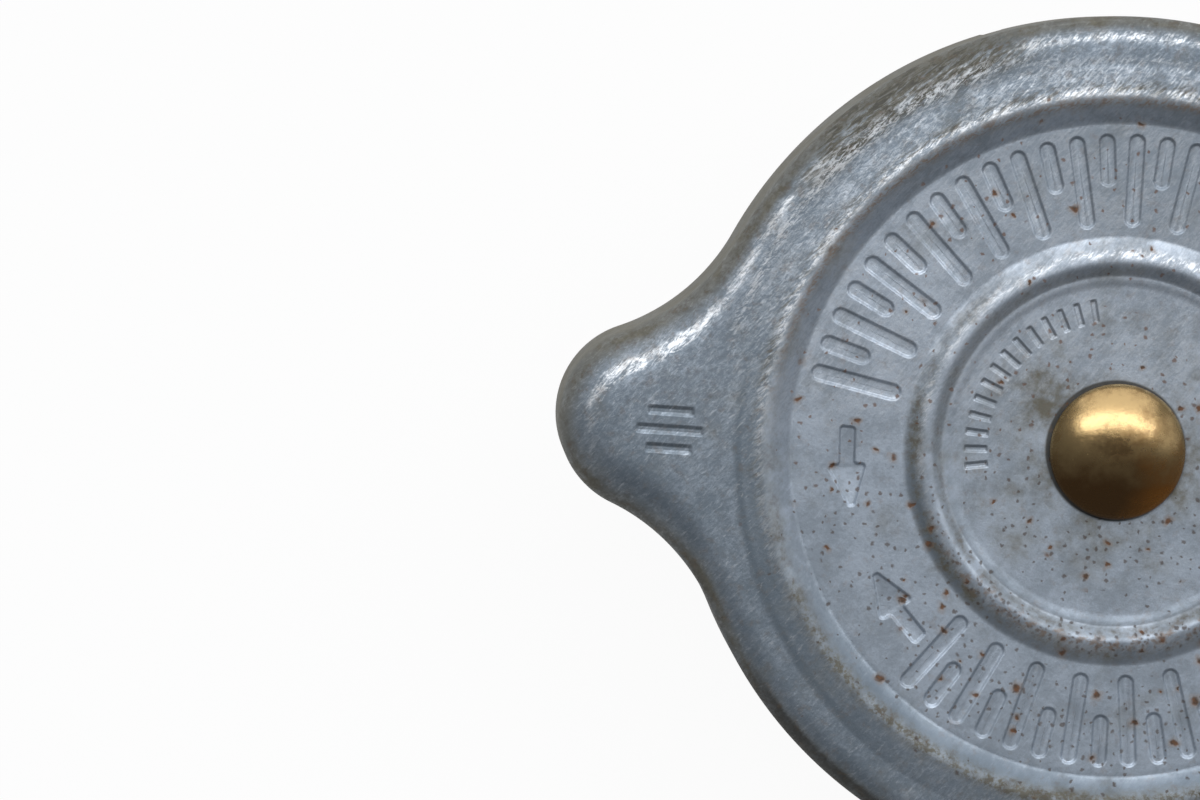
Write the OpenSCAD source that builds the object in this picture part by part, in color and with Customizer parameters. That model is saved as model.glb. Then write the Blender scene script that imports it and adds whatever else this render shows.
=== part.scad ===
// Radiator pressure cap with two ears, a bayonet skirt, a pressure valve and a vacuum vent.
// Millimetres, +Z up. The origin is on the axis, in the plane of the seat gasket's lower face.
// The ears point along X and the two bayonet lugs lie along Y.

/* [Cover] */
// Outer diameter of the skirt
cover_d = 67; // [62:0.5:76]
// Thickness of the cover's sheet
sheet_t = 0.9; // [0.7:0.05:1.1]
// Height of the skirt, from the top of the shoulder to the lower edge
skirt_h = 11.1; // [10:0.1:13.5]
// Outside radius of the shoulder's bend
shoulder_r = 2.4; // [1.6:0.1:3.2]
// Width of the flat ledge between the rim and the shoulder
ledge_w = 1.2; // [0.6:0.1:2]
// Width of the rim's outer fall, from its crest to the ledge
rim_fall_w = 2.5; // [1.5:0.1:3.5]
// Width of the rim's inner slope, from its crest to the band
rim_slope_w = 2.2; // [1.6:0.1:3.2]
// Height of the rim's crest above the band
rim_rise = 1.2; // [0.8:0.1:2]
// How far the ledge lies below the rim's crest
ledge_drop = 0.45; // [0.2:0.05:0.9]
// Radius of the bead's crest round the centre
bead_r = 14.7; // [13.8:0.1:15.6]
// Width of the bead's slope on each side of its crest
bead_slope_w = 1.9; // [1.4:0.1:2.4]
// Height of the bead's crest above the band
bead_rise = 0.75; // [0.5:0.05:1.2]
// How far the centre lies below the band
centre_drop = 0.1; // [0:0.05:0.4]

/* [Ears] */
// Distance from the axis to an ear's tip
ear_reach = 43.1; // [40:0.1:47]
// Radius of an ear's tip
ear_tip_r = 7.2; // [6:0.1:8.5]
// Radius of the hollow curve between an ear and the skirt
ear_hollow_r = 16; // [11:0.5:22]

/* [Bayonet lugs] */
// Angle that each lug spans
lug_angle = 36; // [24:1:46]
// Distance from the axis to a lug's inner edge
lug_reach_r = 27.6; // [27:0.1:28.4]
// Outside radius of the lug's bend
lug_bend_r = 1.7; // [1.4:0.1:2.5]
// Width of the relief slot beside each lug
relief_w = 1.6; // [1:0.1:2.5]
// Height of the relief slot above the skirt's edge
relief_h = 2.6; // [2.5:0.1:4]

/* [Centre rivet] */
// Diameter of the domed head
rivet_head_d = 10.5; // [9:0.1:12]
// Height of the domed head
rivet_head_h = 2.4; // [1.6:0.1:3]
// Height of the plain edge under the dome
rivet_edge_h = 0.35; // [0.2:0.05:0.6]
// Diameter of the shank
rivet_shank_d = 5; // [4:0.1:6]
// Diameter of the clinched tail
rivet_tail_d = 9; // [8:0.1:10]
// Thickness of the clinched tail
rivet_tail_t = 0.8; // [0.6:0.05:1.2]
// Diameter of the hollow in the tail
rivet_hollow_d = 3; // [2:0.1:3.4]

/* [Spring disc] */
// Thickness of the disc
disc_t = 0.45; // [0.3:0.05:0.6]
// How far the disc's clamped flat reaches past the flat of the bell's roof
disc_clamp_past = 0.2; // [0:0.1:0.6]
// How far the sealing face lies below the clamped flat
disc_dish = 1.6; // [1:0.1:2.2]
// Height of the upturned edge above the sealing face
disc_edge_h = 1.1; // [0.9:0.1:1.5]
// Radial gap between the disc and the lugs
disc_gap = 0.8; // [0.5:0.1:1.5]
// Radial gap between the valve plate's edge and the sealing face, seen from below
seal_gap = 0.3; // [0.2:0.1:1]

/* [Spring bell] */
// Height of the bell
bell_h = 16; // [14.5:0.1:18]
// Thickness of the bell's sheet
bell_t = 0.7; // [0.5:0.05:0.9]
// Outside radius of the bend between the roof and the wall
bell_bend_r = 2.6; // [1.6:0.1:3.2]
// Number of fingers bent in at the lower edge
finger_n = 6; // [4:1:8]
// Angle that each finger spans
finger_angle = 34; // [20:1:40]
// Length that each finger reaches under the cup's flange
finger_grip = 1.2; // [0.8:0.1:1.4]
// Height of the slots between the fingers
finger_slot_h = 2.4; // [1.8:0.1:3.5]

/* [Pressure valve] */
// Outer diameter of the gasket
gasket_d = 39.6; // [38:0.1:40.4]
// Thickness of the gasket
gasket_t = 2.4; // [2.1:0.1:3]
// Diameter of the recess for the vent disc
gasket_recess_d = 25.6; // [24.6:0.1:27]
// Depth of the recess for the vent disc
gasket_recess_h = 1.2; // [1:0.05:1.4]
// Diameter of the gasket's hole
gasket_hole_d = 16; // [15.6:0.1:17]
// Thickness of the valve plate
plate_t = 0.8; // [0.6:0.05:1]
// How far the plate's rim hooks under the gasket's shoulder
plate_hook = 0.7; // [0.4:0.05:0.9]
// How far the gasket stands out below the plate's rim
gasket_proud = 0.8; // [0.6:0.05:0.9]
// Thickness of the spring cup's sheet
cup_t = 0.8; // [0.6:0.05:1]
// Outer diameter of the cup's wall
cup_d = 26; // [25:0.1:26.6]
// Width of the cup's flange outside its wall
cup_flange_w = 2.2; // [1.9:0.1:2.6]
// Outside radius of the cup's bends
cup_bend_r = 1.5; // [1.2:0.1:2]
// Inside diameter of the vent port
port_d = 11; // [9.6:0.1:11.4]
// Width of the clinch round the port, below the plate
clinch_w = 1; // [0.6:0.05:1.1]
// Travel of the pressure valve
valve_lift = 3.5; // [2:0.1:4]

/* [Vent valve] */
// Diameter of the vent disc
vent_d = 23.2; // [22:0.1:24]
// Thickness of the vent disc
vent_t = 0.7; // [0.5:0.05:0.75]
// Radius of the fillet between the disc and the stem
stem_fillet_r = 1.1; // [0.6:0.1:1.8]
// Diameter of the stem
stem_d = 3.2; // [2.6:0.1:3.6]
// Diameter of the peened end of the stem
peen_d = 4.8; // [4.2:0.1:5.4]
// Height of the peened end of the stem
peen_h = 0.7; // [0.5:0.05:1]
// Diameter of the washer
washer_d = 8.6; // [8:0.1:9.4]
// Thickness of the washer
washer_t = 0.6; // [0.4:0.05:0.9]

/* [Springs] */
// Wire diameter of the pressure spring
spring_wire_d = 1.9; // [1.5:0.05:2]
// Turns of the pressure spring, the closed ends counted
spring_turns = 6.5; // [5.5:0.5:7]
// Wire diameter of the vent spring
vent_wire_d = 0.7; // [0.5:0.05:0.8]
// Turns of the vent spring, the closed ends counted
vent_turns = 5.5; // [4.5:0.5:6]
// Length of the vent spring
vent_spring_h = 6.4; // [5.5:0.1:7.5]

/* [Fits] */
// Radial clearance of a hole on the rivet or the stem
hole_clear = 0.05; // [0.02:0.01:0.1]
// Axial clearance above and below the bell's roof, where it turns on the rivet
swivel_clear = 0.1; // [0.05:0.05:0.2]
// Radial clearance between the cup's flange and the bell
flange_clear = 0.4; // [0.3:0.05:0.6]
// Space left between the valve plate and the bell at full lift
lift_clear = 0.4; // [0.3:0.05:0.8]
// Radial clearance round the gasket in its plate
gasket_clear = 0.05; // [0.03:0.01:0.1]
// Gap between a spring's wire and the pieces beside it
wire_clear = 0.3; // [0.2:0.05:0.5]
// Gap between the end of a spring and its seat
seat_clear = 0.05; // [0.03:0.01:0.1]

/* [Hidden] */
// Smoothness of full turns, and the points on each bend and each pressed slope
$fn = 96;
bend_steps = 8;
slope_steps = 8;
// Points round the wire and along one turn of each spring
wire_sides = 8;
turn_steps = 20;
// Overlap of solids that are joined into one sheet
lap = ledge_w / 2;
// Overlap of neighbouring arcs, so that they cross and don't only touch
arc_lap = 0.02;
// How far a cut runs past the face that it opens
past = 1;
// Part of a turn that lies flat at each end of a spring
flat_turns = 0.9;

// Heights, from the gasket's face upwards
plate_z = gasket_t;
cup_z = plate_z + plate_t;
finger_z = cup_z + valve_lift + lift_clear;
flange_z = finger_z + bell_t;
bell_top_z = finger_z + bell_h;
disc_z = bell_top_z + swivel_clear;
seal_z = disc_z - disc_dish;
centre_z = disc_z + disc_t + sheet_t;
band_z = centre_z + centre_drop;
crest_z = band_z + rim_rise;
ledge_z = crest_z - ledge_drop;
skirt_z = ledge_z - skirt_h;
lug_bend_z = skirt_z + lug_bend_r;
vent_z = gasket_recess_h - vent_t;
washer_z = cup_z + cup_t + vent_spring_h + 2 * seat_clear;

// Radii, from the axis outwards
cover_r = cover_d / 2;
flat_r = cover_r - shoulder_r;
ledge_r = flat_r - ledge_w;
crest_r = ledge_r - rim_fall_w;
band_r = crest_r - rim_slope_w;
shank_r = rivet_shank_d / 2;
hole_r = shank_r + hole_clear;
disc_r = lug_reach_r - disc_gap;
plate_r = gasket_d / 2 + gasket_clear + plate_t;
port_r = port_d / 2;
neck_r = port_r + cup_t;
cup_r = cup_d / 2;
flange_r = cup_r + cup_flange_w;
bell_in_r = flange_r + flange_clear;
bell_r = bell_in_r + bell_t;
finger_r = flange_r - finger_grip;
finger_bend_r = bell_t + flange_clear - seat_clear;
lug_bend_x = cover_r - lug_bend_r;
spring_r = cup_r - cup_bend_r - wire_clear - spring_wire_d / 2;
vent_spring_r = port_r + vent_wire_d / 2 + wire_clear;
vent_spring_top_r = stem_d / 2 + wire_clear + vent_wire_d / 2;

// Angle that a relief slot takes up
relief_angle = relief_w / cover_r * 180 / PI;

// Ear outline: centres of the tip and of the hollow curve
tip_x = ear_reach - ear_tip_r;
hollow_x = (tip_x ^ 2 + (cover_r + ear_hollow_r) ^ 2 - (ear_tip_r + ear_hollow_r) ^ 2) / (2 * tip_x);
hollow_y = sqrt((cover_r + ear_hollow_r) ^ 2 - hollow_x ^ 2);

// Colours
zinc = [0.55, 0.59, 0.64];
brass = [0.72, 0.55, 0.25];
spring_steel = [0.45, 0.46, 0.48];
black_rubber = [0.1, 0.1, 0.1];

// Points on an arc about c, from angle a to angle b
function arc(c, r, a, b, steps = bend_steps) =
    [for (i = [0:steps]) let (t = a + (b - a) * i / steps) [c.x + r * cos(t), c.y + r * sin(t)]];

// Points on a pressed slope that leaves and arrives level, from p to q
function slope(p, q) =
    [for (i = [0:slope_steps]) let (u = i / slope_steps)
        [p.x + (q.x - p.x) * u, p.y + (q.y - p.y) * (1 - cos(180 * u)) / 2]];

// The same points in the other order
function reversed(points) = [for (i = [len(points) - 1:-1:0]) points[i]];

// A sheet's section: its upper face, and that face moved down by the sheet's thickness
function sheet(upper, t) = concat(upper, [for (p = reversed(upper)) [p.x, p.y - t]]);

// Upper face of the cover from the rivet hole to the shoulder
function pressed_face() = concat(
    [[hole_r, centre_z]],
    slope([bead_r - bead_slope_w, centre_z], [bead_r, band_z + bead_rise]),
    slope([bead_r, band_z + bead_rise], [bead_r + bead_slope_w, band_z]),
    slope([band_r, band_z], [crest_r, crest_z]),
    slope([crest_r, crest_z], [ledge_r, ledge_z]),
    [[flat_r, ledge_z]]);

// Section of a post with the shoulder's bend on top, set in by inset on its wall and top
function post_section(r, inset, foot_z) = concat(
    [[0, foot_z], [r - inset, foot_z]],
    arc([r - shoulder_r, ledge_z - shoulder_r], shoulder_r - inset, 0, 90),
    [[0, ledge_z - inset]]);

// Section of the round part of the cover: a post whose top has the pressed face
function round_section(inset, foot_z) = concat(
    [[0, foot_z], [cover_r - inset, foot_z]],
    arc([flat_r, ledge_z - shoulder_r], shoulder_r - inset, 0, 90),
    [for (p = reversed(pressed_face())) [p.x, p.y - inset]],
    [[0, centre_z - inset]]);

// Section of the tool that leaves the hollow curve beside an ear, with the shoulder's bend at its top
function hollow_section(inset, foot_z) = let (
    bend_x = ear_hollow_r + shoulder_r + arc_lap
) concat(
    [[0, foot_z - past], [bend_x - shoulder_r + inset, foot_z - past]],
    arc([bend_x, ledge_z - shoulder_r], shoulder_r - inset, 180, 90),
    [[bend_x, ledge_z + past], [0, ledge_z + past]]);

// An ear: the web between the round part and the tip, with its hollow sides, and the rounded tip
module ear(inset, foot_z) {
    hollow = [hollow_x, hollow_y];
    height = ledge_z - inset - foot_z;
    difference() {
        translate([0, 0, foot_z]) linear_extrude(height)
            polygon([[0, 0], hollow, [tip_x, 0], [hollow.x, -hollow.y]]);
        translate([0, 0, foot_z - past]) cylinder(r = flat_r - lap, h = height + 2 * past);
        for (side = [-1, 1]) translate([hollow.x, side * hollow.y])
            rotate_extrude() polygon(hollow_section(inset, foot_z));
    }
    translate([tip_x, 0]) rotate_extrude() polygon(post_section(ear_tip_r, inset, foot_z));
}

// The whole outline of the cover as a solid, set in by inset
module cover_solid(inset, foot_z) {
    rotate_extrude() polygon(round_section(inset, foot_z));
    for (side = [0, 180]) rotate(side) ear(inset, foot_z);
}

// Section of the metal that a lug leaves in the cover's hollow: the flat tab and the inside of its bend
function lug_section() = concat(
    [[lug_reach_r, skirt_z - past], [lug_reach_r, skirt_z + sheet_t]],
    arc([lug_bend_x + arc_lap, lug_bend_z], lug_bend_r - sheet_t, -90, 0),
    [[cover_r + past, lug_bend_z], [cover_r + past, skirt_z - past]]);

// Section of what is cut away outside a lug's bend
function lug_corner_section() = concat(
    arc([lug_bend_x + arc_lap, lug_bend_z - arc_lap], lug_bend_r, 0, -90),
    [[lug_bend_x + arc_lap, skirt_z - past], [cover_r + past, skirt_z - past], [cover_r + past, lug_bend_z]]);

// A section swept about the axis through an angle, with its middle on +Y
module swept(angle) {
    rotate(90 - angle / 2) rotate_extrude(angle = angle) children();
}

// The slots on both sides of a lug
module relief_slots() {
    for (side = [-1, 1]) rotate(side * (lug_angle + relief_angle) / 2) swept(relief_angle)
        translate([lug_reach_r - past, skirt_z - past])
            square([cover_r - lug_reach_r + 2 * past, relief_h + past]);
}

module cover_shell() {
    lug_span = lug_angle + relief_angle;
    color(zinc) difference() {
        cover_solid(0, skirt_z);
        difference() {
            cover_solid(sheet_t, skirt_z - past);
            for (side = [0, 180]) rotate(side) swept(lug_span) polygon(lug_section());
        }
        translate([0, 0, skirt_z]) cylinder(r = hole_r, h = crest_z);
        for (side = [0, 180]) rotate(side) {
            swept(lug_span) polygon(lug_corner_section());
            relief_slots();
        }
    }
}

module centre_rivet() {
    dome_h = rivet_head_h - rivet_edge_h;
    head_r = rivet_head_d / 2;
    dome_r = (head_r ^ 2 + dome_h ^ 2) / (2 * dome_h);
    roof_z = bell_top_z - bell_t;
    tail_z = roof_z - swivel_clear - rivet_tail_t;
    color(brass) difference() {
        union() {
            translate([0, 0, centre_z]) cylinder(r = head_r, h = rivet_edge_h);
            intersection() {
                translate([0, 0, centre_z + rivet_head_h - dome_r]) sphere(dome_r);
                translate([0, 0, centre_z + rivet_edge_h]) cylinder(r = head_r, h = rivet_head_h);
            }
            translate([0, 0, tail_z]) cylinder(r = shank_r, h = centre_z - tail_z);
            translate([0, 0, tail_z]) cylinder(d = rivet_tail_d, h = rivet_tail_t);
        }
        translate([0, 0, tail_z - past]) cylinder(d = rivet_hollow_d, h = past + 2 * rivet_tail_t);
    }
}

module spring_disc() {
    clamp_r = bell_r - bell_bend_r + disc_clamp_past;
    slope_r = plate_r + seal_gap;
    edge_r = disc_edge_h - disc_t;
    upper = concat(
        [[hole_r, disc_z + disc_t]],
        slope([clamp_r, disc_z + disc_t], [slope_r, seal_z + disc_t]),
        slope([disc_r - edge_r, seal_z + disc_t], [disc_r, seal_z + disc_edge_h]));
    color(spring_steel) rotate_extrude() polygon(sheet(upper, disc_t));
}

// Section of the bell: the roof, the wall, and the lip bent in under the cup's flange
function bell_section() = let (
    roof_c = [bell_r - bell_bend_r, bell_top_z - bell_bend_r],
    lip_c = [bell_r - finger_bend_r, finger_z + finger_bend_r]
) concat(
    [[hole_r, bell_top_z]],
    arc(roof_c, bell_bend_r, 90, 0),
    arc(lip_c, finger_bend_r, 0, -90),
    [[finger_r, finger_z], [finger_r, flange_z]],
    arc(lip_c, finger_bend_r - bell_t, -90, 0),
    arc(roof_c, bell_bend_r - bell_t, 0, 90),
    [[hole_r, bell_top_z - bell_t]]);

module spring_bell() {
    pitch = 360 / finger_n;
    color(brass) difference() {
        rotate_extrude() polygon(bell_section());
        for (i = [0:finger_n - 1]) rotate(pitch * i) swept(pitch - finger_angle)
            translate([finger_r - past, finger_z - past])
                square([bell_r - finger_r + 2 * past, finger_slot_h + past]);
    }
}

// Section of the cup: flange, wall, floor, and the neck that goes through the plate and is clinched under it
function cup_section() = let (
    rim_c = [cup_r + cup_bend_r - cup_t, flange_z + cup_t - cup_bend_r],
    floor_c = [cup_r - cup_bend_r, cup_z + cup_bend_r]
) concat(
    [[flange_r, flange_z + cup_t]],
    arc(rim_c, cup_bend_r, 90, 180),
    arc(floor_c, cup_bend_r - cup_t, 0, -90),
    [[port_r, cup_z + cup_t], [port_r, plate_z - cup_t], [neck_r + clinch_w, plate_z - cup_t]],
    [[neck_r + clinch_w, plate_z], [neck_r, plate_z], [neck_r, cup_z]],
    arc(floor_c, cup_bend_r, -90, 0),
    arc(rim_c, cup_bend_r - cup_t, 180, 90),
    [[flange_r, flange_z]]);

module spring_cup() {
    color(spring_steel) rotate_extrude() polygon(cup_section());
}

module valve_plate() {
    in_r = plate_r - plate_t;
    hook_r = in_r - plate_hook;
    color(brass) rotate_extrude() polygon([
        [neck_r + hole_clear, plate_z], [in_r, plate_z], [in_r, gasket_proud + plate_t],
        [hook_r, gasket_proud + plate_t], [hook_r, gasket_proud], [plate_r - plate_t / 2, gasket_proud],
        [plate_r, gasket_proud + plate_t / 2], [plate_r, cup_z - plate_t / 2], [plate_r - plate_t / 2, cup_z],
        [neck_r + hole_clear, cup_z]]);
}

module seat_gasket() {
    out_r = gasket_d / 2;
    face_r = out_r - plate_hook - gasket_clear;
    shoulder_z = gasket_proud + plate_t + gasket_clear;
    recess_r = gasket_recess_d / 2;
    color(black_rubber) rotate_extrude() polygon([
        [recess_r, 0], [face_r, 0], [face_r, shoulder_z], [out_r, shoulder_z], [out_r, gasket_t],
        [gasket_hole_d / 2, gasket_t], [gasket_hole_d / 2, gasket_recess_h], [recess_r, gasket_recess_h]]);
}

module vent_valve() {
    stem_r = stem_d / 2;
    vent_r = vent_d / 2;
    face_z = vent_z + vent_t;
    top_z = washer_z + washer_t;
    fillet_c = [stem_r + stem_fillet_r, face_z + stem_fillet_r];
    color(brass) rotate_extrude() polygon(concat(
        [[0, vent_z], [vent_r - vent_t / 2, vent_z], [vent_r, vent_z + vent_t / 2], [vent_r, face_z]],
        arc(fillet_c, stem_fillet_r, 270, 180),
        [[stem_r, top_z], [peen_d / 2, top_z]],
        arc([peen_d / 2 - peen_h, top_z], peen_h, 0, 90),
        [[0, top_z + peen_h]]));
}

module vent_washer() {
    color(spring_steel) translate([0, 0, washer_z]) difference() {
        cylinder(d = washer_d, h = washer_t);
        translate([0, 0, -past]) cylinder(r = stem_d / 2 + hole_clear, h = washer_t + 2 * past);
    }
}

// Height along a spring after t turns: the first and last turns lie flat, and the pitch is even between them
function coil_rise(t, turns) = min(max((t - flat_turns) / (turns - 2 * flat_turns), 0), 1);

// A coil of round wire between two heights, whose radius may change from r0 to r1.
// The flat end turns climb by one wire over their length, so the turn above lies on them.
module coil(r0, r1, z0, z1, wire_d, turns) {
    rings = round(turns * turn_steps);
    wire_r = wire_d / 2;
    flat_rise = wire_d * flat_turns;
    mid_h = z1 - z0 - wire_d - 2 * flat_rise;
    points = [for (i = [0:rings], k = [0:wire_sides - 1])
        let (
            t = i / turn_steps,
            a = 360 * t,
            climb = min(t, flat_turns) + max(t - turns + flat_turns, 0),
            z = z0 + wire_r + climb * wire_d + mid_h * coil_rise(t, turns),
            r = r0 + (r1 - r0) * t / turns + wire_r * cos(360 * k / wire_sides),
            dz = wire_r * sin(360 * k / wire_sides)
        ) [r * cos(a), r * sin(a), z + dz]];
    sides = [for (i = [0:rings - 1], k = [0:wire_sides - 1])
        let (a = i * wire_sides + k, b = i * wire_sides + (k + 1) % wire_sides)
        [a, b, b + wire_sides, a + wire_sides]];
    ends = [[for (k = [wire_sides - 1:-1:0]) k],
            [for (k = [0:wire_sides - 1]) rings * wire_sides + k]];
    polyhedron(points, concat(sides, ends));
}

module pressure_spring() {
    z0 = cup_z + cup_t + seat_clear;
    z1 = bell_top_z - bell_t - seat_clear;
    color(spring_steel) coil(spring_r, spring_r, z0, z1, spring_wire_d, spring_turns);
}

module vent_spring() {
    z0 = cup_z + cup_t + seat_clear;
    color(spring_steel)
        coil(vent_spring_r, vent_spring_top_r, z0, z0 + vent_spring_h, vent_wire_d, vent_turns);
}

cover_shell();
centre_rivet();
spring_disc();
spring_bell();
pressure_spring();
spring_cup();
valve_plate();
seat_gasket();
vent_valve();
vent_spring();
vent_washer();
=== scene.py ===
"""Looks of an old two-eared radiator pressure cap: worn zinc cover, brass rivet and the valve under it."""

import logging
import math
from collections.abc import Callable, Sequence
from dataclasses import dataclass, field
from enum import Enum, IntEnum
from typing import Any

import bmesh
import bpy
import numpy as np
from bpy.types import ID, Material, Mesh, Node, NodeSocket, NodeTree, Object
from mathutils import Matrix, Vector, geometry, noise


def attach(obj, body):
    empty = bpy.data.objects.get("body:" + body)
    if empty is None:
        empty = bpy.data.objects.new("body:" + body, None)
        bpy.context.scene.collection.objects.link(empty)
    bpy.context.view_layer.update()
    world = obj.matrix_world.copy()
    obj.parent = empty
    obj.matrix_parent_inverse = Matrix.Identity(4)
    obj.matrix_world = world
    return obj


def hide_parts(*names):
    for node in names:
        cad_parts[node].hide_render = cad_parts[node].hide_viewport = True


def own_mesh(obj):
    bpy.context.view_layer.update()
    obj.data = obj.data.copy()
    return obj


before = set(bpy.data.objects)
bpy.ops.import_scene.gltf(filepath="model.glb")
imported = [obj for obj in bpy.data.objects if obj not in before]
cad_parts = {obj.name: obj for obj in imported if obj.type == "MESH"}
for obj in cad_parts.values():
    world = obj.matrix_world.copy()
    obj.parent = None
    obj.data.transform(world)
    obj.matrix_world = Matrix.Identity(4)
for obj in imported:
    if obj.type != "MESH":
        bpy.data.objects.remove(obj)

log = logging.getLogger("radiator_cap")

MM = 0.001
SHARP = 38.0
SHARP_AFTER_BEVEL = 50.0
Point = tuple[float, float]
Colour = tuple[float, float, float]


class Body(Enum):
    """The bodies that pieces ride on."""

    COVER = "cover"
    BELL = "bell"
    VALVE = "valve"
    VENT = "vent"


class Slot(Enum):
    """The record's material slots."""

    ZINC = "zinc_sheet"
    RIVET = "rivet_brass"
    SPRUNG = "sprung_steel"
    BRASS = "sheet_brass"
    WIRE = "spring_wire"
    PLATED = "plated_steel"
    RUBBER = "black_rubber"


Pieces = dict[str, Object]
Materials = dict[Slot, Material]


class Below(IntEnum):
    """What stands below a column of the cover's wall."""

    SKIRT = 0
    SLOT = 1
    LUG = 2


SEATS: dict[str, tuple[Body, Slot]] = {
    "cover_shell": (Body.COVER, Slot.ZINC),
    "centre_rivet": (Body.COVER, Slot.RIVET),
    "spring_disc": (Body.COVER, Slot.SPRUNG),
    "spring_bell": (Body.BELL, Slot.BRASS),
    "pressure_spring": (Body.BELL, Slot.WIRE),
    "spring_cup": (Body.VALVE, Slot.PLATED),
    "valve_plate": (Body.VALVE, Slot.BRASS),
    "seat_gasket": (Body.VALVE, Slot.RUBBER),
    "vent_spring": (Body.VALVE, Slot.WIRE),
    "vent_valve": (Body.VENT, Slot.BRASS),
    "vent_washer": (Body.VENT, Slot.PLATED),
}


def math_node(operation: str, swapped: bool = False) -> Callable[..., "Value"]:
    """A method of Value that adds one Math node.

    Args:
        operation: The node's operation.
        swapped: Whether the other value comes first.

    Returns:
        The method.
    """

    def method(value: "Value", other: Any = 0.0) -> "Value":
        """Join this value and another one in a Math node."""
        first, second = (other, value) if swapped else (value, other)
        return value.graph.out("ShaderNodeMath", {"operation": operation}, {0: first, 1: second})

    return method


class Value:
    """One output in a node tree, with the arithmetic that the finishes and the recipes use."""

    __add__ = math_node("ADD")
    __radd__ = math_node("ADD", True)
    __sub__ = math_node("SUBTRACT")
    __rsub__ = math_node("SUBTRACT", True)
    __mul__ = math_node("MULTIPLY")
    __rmul__ = math_node("MULTIPLY", True)
    __truediv__ = math_node("DIVIDE")
    __rtruediv__ = math_node("DIVIDE", True)
    __pow__ = math_node("POWER")
    __rpow__ = math_node("POWER", True)
    least = math_node("MINIMUM")
    most = math_node("MAXIMUM")
    modulo = math_node("MODULO")
    fraction = math_node("FRACT")
    size = math_node("ABSOLUTE")
    sine = math_node("SINE")
    cosine = math_node("COSINE")
    heading = math_node("ARCTAN2")

    def __init__(self, graph: "Graph", socket: NodeSocket) -> None:
        """Keep the tree and the output."""
        self.graph = graph
        self.socket = socket

    def within(self, half: float, blur: float) -> "Value":
        """A mask that is 1 between minus half and half, with soft edges.

        Args:
            half: Half of its width.
            blur: Half of the soft edge's width.

        Returns:
            A value from 0 to 1.
        """
        return 1 - self.size().rise(half - blur, half + blur)

    def rise(self, low: Any, high: Any) -> "Value":
        """Smooth step.

        Args:
            low: Where the step leaves 0.
            high: Where the step arrives at 1.

        Returns:
            A value from 0 to 1.
        """
        settings = {"interpolation_type": "SMOOTHSTEP"}
        sockets = {"Value": self, "From Min": low, "From Max": high}
        return self.graph.out("ShaderNodeMapRange", settings, sockets)

    def ring(self, middle: Any, half: Any) -> "Value":
        """A soft hump that is 1 at middle and 0 at half away from it."""
        return 1 - (self - middle).size().rise(0.0, half)


class Graph:
    """A node tree that is filled by one method."""

    def __init__(self, tree: NodeTree) -> None:
        """Start with an empty tree."""
        self.tree = tree
        self.tree.nodes.clear()

    @staticmethod
    def _find(sockets: Any, key: Any) -> NodeSocket:
        """Look up a socket by place, identifier or name.

        Args:
            sockets: A node's inputs or outputs.
            key: The place, identifier or name.

        Returns:
            The socket.
        """
        if isinstance(key, int):
            return sockets[key]
        for socket in sockets:
            if socket.identifier == key:
                return socket
        return next(socket for socket in sockets if socket.name == key and socket.enabled)

    def add(self, kind: str, settings: dict[str, Any], sockets: dict[Any, Any]) -> Node:
        """Add one node.

        Args:
            kind: The node's type.
            settings: The node's own settings.
            sockets: A value, an output or a plain number or colour for each input.

        Returns:
            The node.
        """
        node = self.tree.nodes.new(kind)
        for name, setting in settings.items():
            setattr(node, name, setting)
        for key, value in sockets.items():
            socket = self._find(node.inputs, key)
            if isinstance(value, Value):
                self.tree.links.new(value.socket, socket)
            elif isinstance(value, NodeSocket):
                self.tree.links.new(value, socket)
            elif isinstance(value, tuple) and len(value) == 3 and socket.type == "RGBA":
                socket.default_value = (*value, 1.0)
            else:
                socket.default_value = value
        return node

    def out(self, kind: str, settings: dict[str, Any], sockets: dict[Any, Any], output: Any = 0) -> Value:
        """Add one node and take one of its outputs.

        Args:
            kind: The node's type.
            settings: The node's own settings.
            sockets: Values for its inputs.
            output: The output's place, identifier or name.

        Returns:
            The output.
        """
        node = self.add(kind, settings, sockets)
        return Value(self, self._find(node.outputs, output))


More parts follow.
